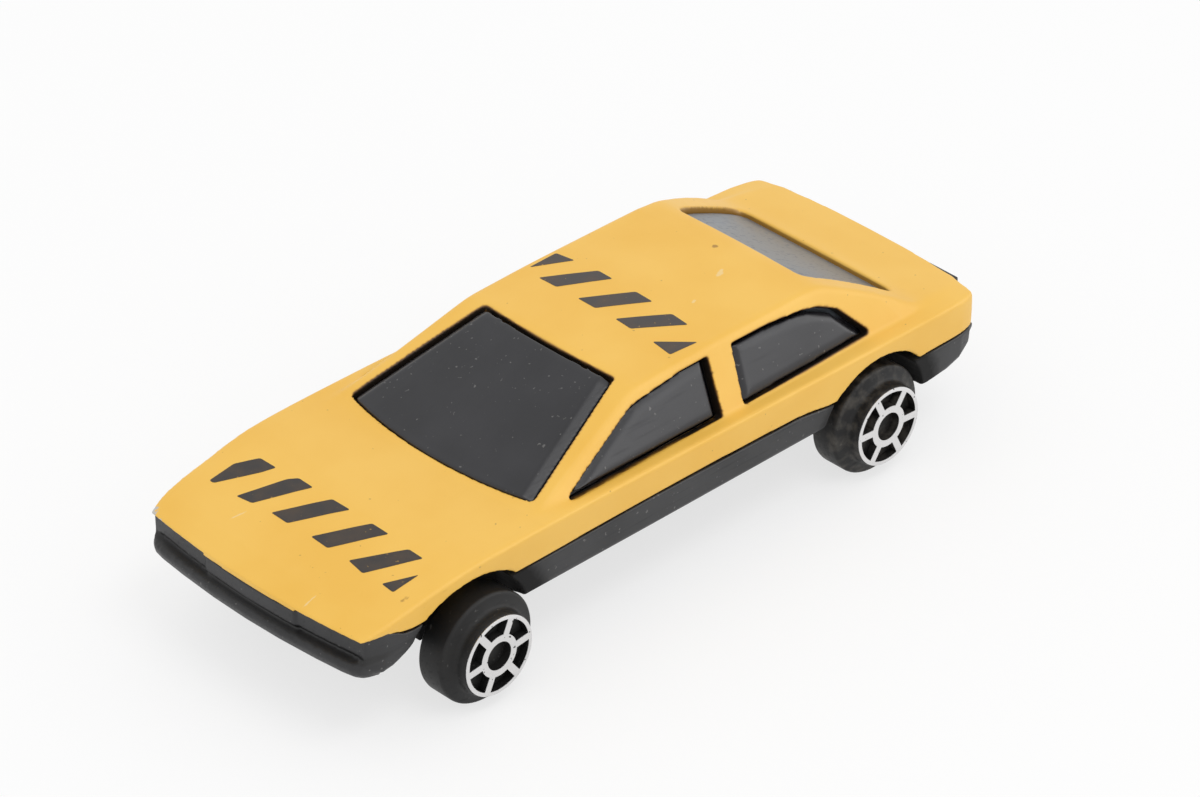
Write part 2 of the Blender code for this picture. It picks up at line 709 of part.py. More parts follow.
def build_moulding(parts, cutters, plastic):
    depth = (SHELL_WALL + FIT_GAP) / MM
    moulding = add_object("window_moulding", body_form("window_moulding", depth, 8.0), parts, plastic)
    shrink = PANE_GAP / MM
    face = add_cutter("pane_face", body_form("pane_face", PANE_DEPTH / MM, 8.0), cutters)
    rear_face = add_cutter("rear_pane_face", body_form("rear_pane_face", REAR_PANE_DEPTH / MM, 8.0), cutters)
    panes = [
        ("screen_pane", plan_prism("screen_pane", SCREEN_FOOT, SCREEN_HEAD, SCREEN_BOW, SCREEN_CORNER,
                                   shrink, SCREEN_PLAY), face),
        ("rear_pane", plan_prism("rear_pane", REAR_HEAD, REAR_FOOT, REAR_BOW, REAR_CORNER,
                                 shrink, REAR_PLAY), rear_face),
    ]
    for side, word in ((1.0, "left"), (-1.0, "right")):
        for light, label, play in ((DOOR_LIGHT, "door", DOOR_PLAY), (QUARTER_LIGHT, "quarter", QUARTER_PLAY)):
            name = label + "_pane_" + word
            panes.append((name, side_prism(name, light, side, shrink, PANE_REACH, play), face))
    for name, mesh, limit in panes:
        pane = add_cutter(name, mesh, cutters)
        combine(pane, limit, "INTERSECT")
        join(moulding, pane)
    front, rear = MOULDING_ENDS
    keep = box_mesh("moulding_limits", (rear, -20.0, MOULDING_FOOT), (front, 20.0, 30.0))
    combine(moulding, add_cutter("moulding_limits", keep, cutters), "INTERSECT")
    hollow = body_form("moulding_hollow", depth + MOULDING_WALL / MM, 8.0)
    cut(moulding, add_cutter("moulding_hollow", hollow, cutters))
    return moulding


def build_base(parts, cutters, plastic):
    base = add_object("base_plate", tray_form("base_plate"), parts, plastic)
    floor_top = straight(SKIRT, 0.0)[1] + FLOOR
    inner_wall = well_wall() / MM - TRAY_WALL
    outer_wall = along(LOWER_EDGE, 0.0)[0] - TRAY_WALL
    arches = dict(arch_places(SILL_REACH, TAIL_REACH))
    front_end = arches["front"][0] / MM - arches["front"][1] - WAIST_WALL
    rear_end = arches["rear"][0] / MM + arches["rear"][1] + WAIST_WALL
    hollows = (
        ("tray_middle", (POST_REAR[0] + POST_MARGIN, -inner_wall, floor_top),
         (POST_FRONT[0] - POST_MARGIN, inner_wall, 20.0)),
        ("tray_waist", (rear_end, -outer_wall, WAIST_FLOOR), (front_end, outer_wall, 20.0)),
    )
    for name, low, high in hollows:
        cut(base, add_cutter(name, box_mesh(name, low, high), cutters))
    cut(base, add_cutter("panel_notch", panel_notch("panel_notch"), cutters))
    join(base, add_cutter("bumper_bar", bar_mesh("bumper_bar"), cutters))
    for side, word in ((1.0, "left"), (-1.0, "right")):
        for label, arch in arches.items():
            name = "well_" + label + "_" + word
            cut(base, add_cutter(name, arch_mesh(name, arch, side), cutters))
        name = "tail_lamp_" + word
        join(base, add_cutter(name, lamp_mesh(name, side), cutters))
        for x, label in zip(SEATS, ("front", "rear")):
            name = "seat_" + label + "_" + word
            low, high = sorted((side * SEAT_INNER, side * SEAT_OUTER))
            block = box_mesh(name, (x - SEAT_HALF, low, floor_top - SINK), (x + SEAT_HALF, high, MOULDING_FOOT))
            join(base, add_cutter(name, block, cutters))
        for x, label in ((0.5 * WHEELBASE, "front"), (-0.5 * WHEELBASE, "rear")):
            name = "carrier_" + label + "_" + word
            low, high = sorted((side * (inner_wall - CARRIER_WIDTH), side * inner_wall))
            middle = x / MM
            half = 0.5 * CARRIER_LENGTH
            block = box_mesh(name, (middle - half, low, CARRIER_FOOT), (middle + half, high, floor_top - SINK))
            join(base, add_cutter(name, block, cutters))
    for x, label in ((0.5 * WHEELBASE, "front"), (-0.5 * WHEELBASE, "rear")):
        bore_radius = AXLE_RADIUS + RUNNING_CLEARANCE
        bore = lathe("bore_" + label, [(0.0, -0.01), (bore_radius, -0.01), (bore_radius, 0.01), (0.0, 0.01)], cutters)
        bore.hide_render = True
        bore.display_type = "WIRE"
        bore.rotation_euler = (0.5 * math.pi, 0.0, 0.0)
        bore.location = (x + MID_WHEELBASE, 0.0, TYRE_RADIUS)
        cut(base, bore)
        half = 0.5 * SNAP_MOUTH / MM
        mouth = box_mesh("mouth_" + label, (x / MM - half, -inner_wall - SINK, 0.0),
                         (x / MM + half, inner_wall + SINK, TYRE_RADIUS / MM))
        cut(base, add_cutter("mouth_" + label, mouth, cutters))
    length, width, height = PAD
    pad = box_mesh("mounting_pad", (-length, -width, height), (length, width, floor_top - SINK))
    join(base, add_cutter("mounting_pad", pad, cutters))
    for label, (x, _) in (("front", POST_FRONT), ("rear", POST_REAR)):
        hole = lathe("rivet_hole_" + label, metres(hole_profile(straight(SKIRT, x)[1])), cutters)
        hole.hide_render = True
        hole.display_type = "WIRE"
        hole.location = (x * MM + MID_WHEELBASE, 0.0, 0.0)
        cut(base, hole)
    return base


def build_axle(name, position, parts, steel):
    half = 0.5 * FACE_TRACK - WHEEL_WIDTH + BORE_DEPTH
    chamfer = 0.15 * MM
    profile = [
        (0.0, -half), (AXLE_RADIUS - chamfer, -half), (AXLE_RADIUS, -half + chamfer),
        (AXLE_RADIUS, half - chamfer), (AXLE_RADIUS - chamfer, half), (0.0, half),
    ]
    axle = lathe(name, profile, parts, steel)
    axle.location = position
    axle.rotation_euler = (0.5 * math.pi, 0.0, 0.0)
    return axle


def build_wheel(name, position, side, phase, parts, cutters, plastic, foil_name, foil_material):
    """One wheel and its stamped foil; local +Z points out of the car."""
    bore = AXLE_RADIUS + PRESS_CLEARANCE
    inner = -WHEEL_WIDTH
    edge = inner + TREAD_WIDTH
    shoulder = TYRE_RADIUS - TREAD_CHAMFER
    lip = HUB_RADIUS + 0.3 * MM
    profile = [
        (0.0, inner + BORE_DEPTH), (bore, inner + BORE_DEPTH), (bore, inner), (shoulder, inner),
        (TYRE_RADIUS, inner + TREAD_CHAMFER), (TYRE_RADIUS, edge - TREAD_CHAMFER), (shoulder, edge),
        (lip, edge + SIDEWALL_RISE), (HUB_RADIUS, edge + SIDEWALL_RISE), (HUB_RADIUS, 0.0), (0.0, 0.0),
    ]
    wheel = lathe(name, profile, parts, plastic)
    foil_radius = HUB_RADIUS - 0.05 * MM
    foil = lathe(foil_name, [(0.0, 0.0), (foil_radius, 0.0), (foil_radius, FOIL_THICKNESS),
                             (0.0, FOIL_THICKNESS)], parts, foil_material)
    pockets = add_cutter(name + "_pockets", pocket_mesh(name + "_pockets", POCKET_DEPTH), cutters)
    turn = Matrix.Rotation(-side * 0.5 * math.pi, 4, "X") @ Matrix.Rotation(phase, 4, "Z")
    for piece in (wheel, foil, pockets):
        piece.matrix_world = Matrix.Translation(position) @ turn
    for piece in (wheel, foil):
        cut(piece, pockets)
    return wheel, foil


def main():
    clear_scene()
    parts = make_collection("die_cast_sports_car")
    cutters = make_collection("cutters")
    cutters.hide_render = True
    paint = make_material("yellow_paint", (0.85, 0.42, 0.05), 0.0, 0.4)
    dark = make_material("black_moulding", (0.02, 0.02, 0.022), 0.0, 0.35)
    base_plastic = make_material("black_base", (0.02, 0.02, 0.02), 0.0, 0.5)
    wheel_plastic = make_material("black_wheel", (0.015, 0.015, 0.015), 0.0, 0.55)
    steel = make_material("axle_steel", (0.6, 0.6, 0.6), 1.0, 0.3)
    silver = make_material("silver_foil", (0.9, 0.9, 0.9), 1.0, 0.25)
    build_shell(parts, cutters, paint)
    build_moulding(parts, cutters, dark)
    build_base(parts, cutters, base_plastic)
    ends = (("front", 0.5 * WHEELBASE, END_FLOAT, FRONT_PHASE), ("rear", -0.5 * WHEELBASE, -END_FLOAT, REAR_PHASE))
    for end, x, shift, phase in ends:
        build_axle("axle_" + end, (x + MID_WHEELBASE, shift, TYRE_RADIUS), parts, steel)
        for side, word in ((1.0, "left"), (-1.0, "right")):
            place = Vector((x + MID_WHEELBASE, shift + side * 0.5 * FACE_TRACK, TYRE_RADIUS))
            label = end + "_" + word
            build_wheel("wheel_" + label, place, side, phase, parts, cutters, wheel_plastic,
                        "foil_" + label, silver)


main()
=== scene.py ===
"""Looks of a die-cast sports car: painted casting, black mouldings, foiled wheels, printed dashes."""
import math

import bpy
import numpy
from mathutils import Matrix, Vector


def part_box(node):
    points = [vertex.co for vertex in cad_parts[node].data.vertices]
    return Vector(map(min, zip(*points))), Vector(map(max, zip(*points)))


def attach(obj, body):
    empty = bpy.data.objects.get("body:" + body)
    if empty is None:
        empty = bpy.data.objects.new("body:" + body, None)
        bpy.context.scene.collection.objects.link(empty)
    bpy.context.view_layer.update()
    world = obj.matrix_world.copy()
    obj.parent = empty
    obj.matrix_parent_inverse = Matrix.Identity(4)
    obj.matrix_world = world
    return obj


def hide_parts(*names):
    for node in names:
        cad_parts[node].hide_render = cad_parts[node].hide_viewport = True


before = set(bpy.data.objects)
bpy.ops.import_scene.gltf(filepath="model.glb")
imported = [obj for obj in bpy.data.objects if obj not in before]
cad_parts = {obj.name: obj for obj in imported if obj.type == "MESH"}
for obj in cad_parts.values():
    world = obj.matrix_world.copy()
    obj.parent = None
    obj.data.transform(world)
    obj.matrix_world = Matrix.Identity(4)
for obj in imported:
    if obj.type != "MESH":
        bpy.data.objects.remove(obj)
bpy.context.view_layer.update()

bl_info = {
    "name": "Die-cast sports car",
    "version": (1, 0, 0),
    "blender": (4, 5, 0),
    "location": "View3D > Sidebar > Car",
    "description": "Dresses the packed toy car with its painted, moulded and printed surfaces",
    "category": "Object",
}

MM = 0.001
CORNERS = ("front_left", "front_right", "rear_left", "rear_right")
ENDS = ("front", "rear")

# Printed dashes on the shell, seen from above: corners (x, y) in millimetres.
HOOD_DASHES = (
    ((30.32, -11.07), (30.31, -10.54), (27.01, -8.26), (25.95, -7.76), (25.93, -9.73), (27.73, -10.97)),
    ((30.3, -7.79), (30.11, -6.08), (25.77, -3.48), (25.71, -5.27), (26.37, -5.93)),
    ((29.95, -3.93), (30.01, -1.92), (25.77, 0.96), (25.79, -1.14)),
    ((29.92, 0.82), (30.02, 2.91), (25.81, 5.59), (25.79, 3.61)),
    ((29.96, 5.33), (30.27, 7.32), (26.04, 9.88), (26.03, 8.19)),
    ((30.14, 9.42), (30.23, 10.84), (27.55, 11.01)),
)
ROOF_DASHES = (
    ((-3.98, -9.09), (-7.11, -9.11), (-7.33, -7.1)),
    ((-3.33, -7.29), (-3.3, -5.17), (-7.45, -2.68), (-7.53, -4.44)),
    ((-3.29, -2.57), (-3.26, -0.47), (-7.38, 2.15), (-7.42, 0.14)),
    ((-3.32, 1.85), (-3.22, 3.75), (-7.13, 6.56), (-7.26, 4.57)),
    ((-3.24, 6.32), (-3.03, 8.56), (-5.97, 8.83)),
)

# Wear marks: middle, turn about Z in degrees, and half length, half width, half depth, in millimetres. The
# last two bare places are the posts whose ends are riveted over the base.
ZINC_CHIPS = (
    ((35.3, -12.6, 10.95), 0.0, (0.85, 0.85, 0.8)),
    ((35.75, -11.5, 10.95), 0.0, (0.4, 0.8, 0.35)),
    ((29.08, 0.0, 6.2), 0.0, (5.0, 5.0, 3.2)),
    ((-32.72, 0.0, 6.2), 0.0, (5.0, 5.0, 3.2)),
)
PALE_RUBS = (
    ((-14.67, 2.84, 19.1), 20.0, (0.8, 0.3, 0.6)),
    ((-9.88, 4.47, 19.1), 15.0, (0.5, 0.22, 0.6)),
    ((31.9, -5.95, 12.7), 163.0, (1.05, 0.12, 0.7)),
    ((35.2, 6.1, 11.8), 178.0, (1.4, 0.11, 0.8)),
)
BROWN_RUBS = (
    ((-17.45, -0.37, 19.1), 0.0, (0.5, 0.4, 0.6)),
    ((29.95, 12.2, 12.3), 165.0, (0.8, 0.3, 0.5)),
    ((34.02, 1.14, 12.5), 0.0, (0.22, 0.22, 0.6)),
)
PANE_SCRATCHES = (((11.44, 3.88, 15.22), 121.0, (0.72, 0.1, 0.5)),)

# Window openings in the casting: box low and high, middle, the way the opening faces, and the share of the
# painted shade in its reveals.
OPENINGS = (
    ((1.2, -11.8, 12.9), (17.6, 11.8, 20.0), (8.7, 0.0, 16.3), (0.379, 0.0, 0.926), 1.0),
    ((-30.3, -10.4, 12.9), (-18.2, 10.4, 20.0), (-24.8, 0.0, 16.1), (-0.472, 0.0, 0.881), 0.42),
    ((-6.9, 8.6, 12.9), (13.8, 13.5, 19.0), (1.5, 11.2, 15.7), (0.0, 0.906, 0.424), 1.0),
    ((-6.9, -13.5, 12.9), (13.8, -8.6, 19.0), (1.5, -11.2, 15.7), (0.0, -0.906, 0.424), 1.0),
    ((-24.4, 8.6, 12.9), (-7.5, 13.5, 19.0), (-14.5, 11.2, 15.6), (0.0, 0.906, 0.424), 1.0),
    ((-24.4, -13.5, 12.9), (-7.5, -8.6, 19.0), (-14.5, -11.2, 15.6), (0.0, -0.906, 0.424), 1.0),
)

# Panes: outlines of the openings on their own planes in millimetres, a point inside, and how far the pane
# falls away at each edge. The windscreen is seen from above, from its left foot over its head to the middle;
# the side lights lie on a tilted plane.
SCREEN_LINE = (((14.88, 10.85), (2.43, 7.65), (2.88, 0.0)), (9.0, 0.0), (0.45, 0.05))
DOOR_LINE = (((12.78, 0.2), (3.38, 4.72), (2.08, 4.98), (-2.82, 5.45), (-5.97, 5.5), (-5.67, 0.2),
              (12.78, 0.2)), (0.0, 2.5), (0.25, 0.2, 0.2, 0.2, 1.1, 0.15))
QUARTER_LINE = (((-8.17, 0.2), (-8.72, 5.5), (-13.32, 5.42), (-16.92, 5.1), (-18.92, 4.6), (-20.82, 3.7),
                 (-23.72, 0.42), (-8.17, 0.2)), (-14.0, 2.5), (0.4, 0.2, 0.2, 0.3, 0.6, 0.9, 0.15))

# Planes of the panes: their tilt, and a point on them in millimetres, (across, up) or (along, up).
SIDE_TILT = math.radians(25.1)
SIDE_ORIGIN = (12.3, 13.12)
SCREEN_TILT = math.radians(22.6)
SCREEN_FOOT = (14.88, 13.76)

# Fall of the panes, in millimetres: the edge strip where it is deepest, hidden by the casting, and then the
# width over which it runs out, with a power of 2 for a rounded and 1 for a straight one. What moves is above
# the panes' foot, no deeper under a pane's plane and no further outside its outline than these.
EDGE_GAP = 0.26
SIDE_DOME, SIDE_POWER = 0.9, 2
SCREEN_BEVEL, SCREEN_POWER = 0.85, 1
PANE_FOOT = 13.0
SIDE_DEPTH, SCREEN_DEPTH = 1.1, 1.2
PANE_MARGIN = 0.2
SCREEN_SPAN = (2.0, 17.0)

# The windscreen's pane stands this much higher than the solid's, in millimetres.
SCREEN_LIFT = 0.25

# Painted shade in the window reveals: how far a surface turns from the way its opening faces before it
# counts, and the further turn over which the shade darkens, as cosines; where a ray to the opening's other
# side starts, across and along that way, and how far it looks, in millimetres; and smoothing passes.
REVEAL_TURN, REVEAL_FADE = 0.9, 0.25
RAY_ACROSS, RAY_ALONG, RAY_REACH = 0.1, 0.05, 30.0
REVEAL_PASSES = 2

# The nose, in millimetres. A fade is the length over which a change sets in.
# Where the nose begins to stand wider, by how much, and between which distances from the middle it sets in.
NOSE_START, NOSE_FADE, NOSE_WIDEN = 28.5, 4.5, 0.28
CORNER_START, CORNER_END = 8.0, 12.0
# The hood's lip: where it starts, its top, the height over which its lower edge is lifted, and the lift.
LIP_START, LIP_FADE = 31.0, 2.0
LIP_TOP, LIP_HEIGHT, LIP_LIFT = 11.1, 0.7, 0.42
# How far the lip reaches, and its bow as a fall back per square millimetre from the middle.
NOSE_REACH, NOSE_BOW = 36.18, 0.0061
# The black band under the lip: foot, top and lift; how far it is set back, and how much further beyond the
# two steps, which stand this far from the middle.
BAND_FOOT, BAND_TOP, BAND_LIFT, BAND_FADE = 8.65, 10.95, 0.6, 1.0
BAND_RECESS, BAND_STEP, FOOT_FADE = 0.08, 0.2, 0.12
PANEL_HALF, STEP_HALF = 5.4, 0.1
# How much further the bumper bar reaches on the right; the groove over the bar, and where its ends run out.
BAR_REACH, BAR_FADE = 0.12, 0.25
GROOVE_LEVEL, GROOVE_HALF, GROOVE_DEPTH = 8.74, 0.26, 0.42
GROOVE_START, GROOVE_FADE = 33.6, 1.0
GROOVE_END, GROOVE_FULL = 12.6, 11.6

# The tail lamp blocks: behind and above where they stand, and how much lower than the solids, in millimetres.
LAMP_START, LAMP_FOOT = -34.0, 11.0
LEFT_SINK, RIGHT_SINK = 0.08, 0.22

# Rounding of the fine meshes. A region is a low corner, a high corner and a fade width in millimetres, and
# its smoothing passes. Then the triangles each mesh is thinned to, and the distance for welding its points.
WHOLE_LOW, WHOLE_HIGH = (-50.0, -50.0, -50.0), (50.0, 50.0, 50.0)
SHELL_REGIONS = (
    (WHOLE_LOW, WHOLE_HIGH, 1.0, 1),
    (WHOLE_LOW, (34.6, 50.0, 50.0), 1.5, 3),  # all behind the nose
    ((-32.4, -11.5, 11.0), (-27.2, 11.5, 14.8), 1.0, 80),  # lip of the rear deck
    ((-22.0, -11.5, 16.5), (-17.6, 11.5, 20.0), 0.8, 25),  # rear end of the roof
    ((1.0, -12.5, 13.0), (16.5, 12.5, 20.0), 0.8, 5),  # rim of the windscreen
    ((-38.0, 10.0, 10.8), (-32.5, 18.0, 20.0), 1.2, 40),  # left tail corner
    ((-38.0, -18.0, 10.8), (-32.5, -10.0, 20.0), 1.2, 40),  # right tail corner
)
PANE_REGIONS = ((WHOLE_LOW, WHOLE_HIGH, 1.0, 10),)
BASE_REGIONS = (
    (WHOLE_LOW, WHOLE_HIGH, 1.0, 2),
    ((33.0, -20.0, 5.0), (50.0, 20.0, 15.0), 1.0, 3),  # nose
)
SHELL_TRIANGLES, PANE_TRIANGLES, BASE_TRIANGLES = 190000, 120000, 170000
WELD = 0.001

# Wheels, in millimetres: how far in from the tread the back's outer ring lies; the tread's roundings in
# steps of degrees; the hub's foot (out, up) and rim (in, down); how high the cutters stand over the face;
# the foil's inset and chamfer, and its edge as a share of its height; points round the rings; the bars that
# leave two spokes each, with the angle between them; and the angle up to which edges are shaded smooth.
BACK_RING = 0.6
INNER_STEPS = (30.0, 60.0, 90.0)
OUTER_STEPS = (0.0, 22.5, 45.0, 67.5, 90.0)
HUB_FOOT = ((0.3, 0.2), (0.12, 0.3), (0.03, 0.48), (0.0, 0.7))
HUB_RIM = ((0.0, 0.16), (0.04, 0.05), (0.12, 0.0))
CUTTER_TOP = 0.5
FOIL_INSET, FOIL_CHAMFER, FOIL_EDGE = 0.1, 0.03, 0.8
WHEEL_POINTS, POCKET_POINTS, EYE_POINTS = 128, 96, 64
SPOKE_BARS, SPOKE_ANGLE = 3, 60.0
WHEEL_SHADE = math.radians(35.0)

# Printed dashes: the height they are laid down from in millimetres, how often they are divided to follow the
# casting, the ink's depth in films, so that it reaches under the paint, and the angle for smooth shading.
DASH_DROP = 30.0
DASH_CUTS = 4
INK_DEPTH = 1.5
DASH_SHADE = math.radians(40.0)

# Painted shade on the base, laid out like the wear marks: the two wheel arches, and the recess over the
# bumper bar.
SHADED = (
    ((22.98, 0.0, 5.05), 0.0, (7.4, 1000.0, 7.4)),
    ((-23.62, 0.0, 5.05), 0.0, (7.2, 1000.0, 7.2)),
)
LEDGE = (((35.4, 0.0, 8.9), 0.0, (3.0, 1000.0, 0.36)),)

# Light: level of the white tent for diffuse rays, the floor's own glow for seen rays, and two soft boxes
# with place and size in metres, power in watts, and whether they light surfaces or only show in their gloss.
TENT_LEVEL = 0.86
FLOOR_GLOW = 0.7
SOFT_BOXES = (
    ("top_box", (0.0, 0.27, 0.58), 0.62, (0.36, 0.18), True),
    ("side_box", (-0.5, 0.65, 0.32), 3.4, (1.2, 0.6), False),
)
BOX_AIM = (0.0, 0.0, 0.01)
WHITE = (1.0, 1.0, 1.0, 1.0)
FLOOR_SIZE = 3.0

# The photo's camera: place and nearest distance in metres, turn in degrees, lens and sensor in millimetres.
CAMERA_PLACE = (0.2961245, 0.3026786, 0.2939928)
CAMERA_TURN = (56.32597, -0.39101, 135.55614)
CAMERA_LENS, CAMERA_SENSOR = 183.06, 36.0
CAMERA_NEAR = 0.01

# Inputs of a map range node by number: the value, the range it comes from and the range it goes to.
VALUE, FROM_LOW, FROM_HIGH, TO_LOW, TO_HIGH = range(5)


def linear(hex_colour):
    """sRGB hex to the linear colour that a shader takes."""
    values = [int(hex_colour[i:i + 2], 16) / 255.0 for i in (1, 3, 5)]
    return tuple(v / 12.92 if v <= 0.04045 else ((v + 0.055) / 1.055) ** 2.4 for v in values) + (1.0,)


def colour(name, description, hex_colour):
    """A colour that a user may change."""
    return bpy.props.FloatVectorProperty(name=name, description=description, subtype="COLOR", size=4,
                                         default=linear(hex_colour), min=0.0, max=1.0)


def length(name, description, millimetres):
    """A size that a user may change."""
    return bpy.props.FloatProperty(name=name, description=description, unit="LENGTH",
                                   default=millimetres * MM, min=0.001 * MM)


class CarColours(bpy.types.PropertyGroup):
    """Colours of the car's finishes, as they look in plain light"""

    paint: colour("Paint", "Yellow enamel on the casting", "#F4C255")
    deep_paint: colour("Deep paint", "Where the enamel lies thicker", "#F0BB4A")
    nib: colour("Paint nib", "Dust caught in the enamel", "#A27B38")
    pale_rub: colour("Pale rub", "Enamel polished by handling", "#F0DDB0")
    # Also the brown of the painted shade where it fades out of the window reveals.
    brown_dirt_and_shade: colour("Brown rub", "Dirt rubbed into the enamel", "#8A5F22")
    zinc: colour("Bare zinc", "Casting where the enamel is knocked off", "#C6C3BE")
    # Colour of the painted shade in the window reveals.
    reveal: colour("Reveal", "Dirt in the window reveals", "#1F1812")
    pane: colour("Pane", "Black window moulding", "#1B1B1F")
    pane_film: colour("Pane film", "Handling film on the panes", "#2A2A2E")
    # Colour of the painted reflection on the rear pane.
    rear_reflection: colour("Rear pane film", "Dust on the rear pane", "#727A82")
    pane_scratch: colour("Pane scratch", "Paint rubbed into a scratch on the windscreen", "#8E8650")
    base: colour("Base", "Black base moulding", "#1A1A1C")
    base_film: colour("Base film", "Dust film on the base", "#313133")
    # Colour of the painted shade in the wheel arches, over the bumper bar and at the nose.
    base_shade: colour("Base shade", "Dirt in the wheel arches and the bumper's recess", "#0A0909")
    wheel: colour("Wheel", "Black wheel moulding", "#121213")
    wheel_film: colour("Wheel film", "Dust film on the wheels", "#242322")
    road_dust: colour("Road dust", "Dust on the rear wheels", "#57534D")
    dust_grain: colour("Dust grain", "Loose grains on the plastics", "#9D9B98")
    foil: colour("Foil", "Aluminium foil on the wheel faces", "#DEDDDD")
    foil_flake: colour("Foil flake", "Black plastic where foil has flaked off", "#262422")
    hood_ink: colour("Hood ink", "Dashes printed on the hood", "#2D2826")
    roof_ink: colour("Roof ink", "Dashes printed on the roof", "#3D3836")
    thin_ink: colour("Thin ink", "Ink where the paint shows through", "#6B5234")
    steel: colour("Steel", "Axle pins", "#B5B6B8")
    bright_steel: colour("Bright steel", "Turned rings on the axle pins", "#C9CACC")
    card: colour("Card", "Floor the car stands on", "#FAFAFA")


class CarSizes(bpy.types.PropertyGroup):
    """Sizes of the modelled pieces and of the grain that rounds their edges"""

    cast_grain: length("Casting grain", "Voxel size for the painted casting's rounded edges", 0.12)
    mould_grain: length("Moulding grain", "Voxel size for the plastic mouldings' rounded edges", 0.11)
    film: length("Ink film", "Height of the printed dashes over the paint", 0.02)
    dash_corner: length("Dash corner", "Rounding of a printed dash's corners", 0.18)
    tyre_radius: length("Tyre radius", "Outer radius of the wheels", 5.05)
    hub_radius: length("Hub radius", "Radius of the raised wheel face", 3.75)
    wheel_width: length("Wheel width", "From the inner side to the wheel face", 4.15)
    tread_width: length("Tread width", "Width of the rolling tread", 2.75)
    inner_round: length("Inner round", "Rounding of the tread's inner edge", 0.28)
    outer_round: length("Outer round", "Rounding of the tread's outer edge", 0.32)
    pocket_outer: length("Pocket outer radius", "Outer end of the pockets between the spokes", 3.3)
    pocket_inner: length("Pocket inner radius", "Inner end of the pockets", 1.94)
    pocket_depth: length("Pocket depth", "Depth of the pockets and of the eye", 0.75)
    eye_radius: length("Eye radius", "Radius of the dark eye in the wheel face", 1.3)
    spoke_width: length("Spoke width", "Width of a spoke", 0.66)
    foil_height: length("Foil height", "Foil over the wheel face", 0.06)
    front_phase: bpy.props.FloatProperty(
        name="Front turn", description="Turn of the front wheels at rest", subtype="ANGLE",
        default=math.radians(6.5))
    rear_phase: bpy.props.FloatProperty(
        name="Rear turn", description="Turn of the rear wheels at rest", subtype="ANGLE",
        default=math.radians(-4.0))


def set_inputs(tree, node, inputs):
    """Sets or links a node's inputs. A node given as a value stands for its first output."""
    for name, value in inputs.items():
        if isinstance(value, bpy.types.Node):
            value = value.outputs[0]
        if isinstance(value, bpy.types.NodeSocket):
            tree.links.new(value, node.inputs[name])
        else:
            node.inputs[name].default_value = value


def add_node(tree, kind, inputs=None, **settings):
    """One shader node with its settings and its inputs."""
    node = tree.nodes.new(kind)
    for name, value in settings.items():
        setattr(node, name, value)
    set_inputs(tree, node, inputs or {})
    return node


def new_material(name):
    """An empty node material with its Principled shader, and the place on the piece for its patterns."""
    material = bpy.data.materials.new(name)
    material.use_nodes = True
    tree = material.node_tree
    tree.nodes.clear()
    shader = add_node(tree, "ShaderNodeBsdfPrincipled")
    add_node(tree, "ShaderNodeOutputMaterial", {"Surface": shader})
    place = add_node(tree, "ShaderNodeTexCoord").outputs["Object"]
    return material, tree, shader, place


def layered(tree, coat, *layers):
    """A colour with more colours laid over it, each by its own share."""
    for share, over in layers:
        coat = add_node(tree, "ShaderNodeMix", {0: share, 6: coat, 7: over}, data_type="RGBA").outputs[2]
    return coat


def per(millimetres):
    """Noise scale for a pattern of this size."""
    return 1.0 / (millimetres * MM)


def rub_mask(tree, place, marks, strength, ragged=1.6, edge=(0.8, 0.6)):
    """Share from 0 to strength inside a list of marks, their edges broken up as by 0.5 mm grit."""
    nearest = None
    for middle, turn, halves in marks:
        local = add_node(tree, "ShaderNodeMapping", {
            "Vector": place, "Location": [c * MM for c in middle], "Rotation": (0.0, 0.0, math.radians(turn)),
            "Scale": [c * MM for c in halves]}, vector_type="TEXTURE")
        away = add_node(tree, "ShaderNodeVectorMath", {0: local}, operation="LENGTH").outputs["Value"]
        if nearest is None:
            nearest = away
        else:
            nearest = add_node(tree, "ShaderNodeMath", {0: nearest, 1: away}, operation="MINIMUM")
    grit = add_node(tree, "ShaderNodeTexNoise", {"Vector": place, "Scale": per(0.5), "Detail": 3.0})
    broken = add_node(tree, "ShaderNodeMath", {0: grit, 1: ragged, 2: nearest}, operation="MULTIPLY_ADD")
    outer, inner = edge[0] + 0.5 * ragged, edge[1] + 0.5 * ragged
    return add_node(tree, "ShaderNodeMapRange", {
        VALUE: broken, FROM_LOW: outer, FROM_HIGH: inner, TO_HIGH: strength})


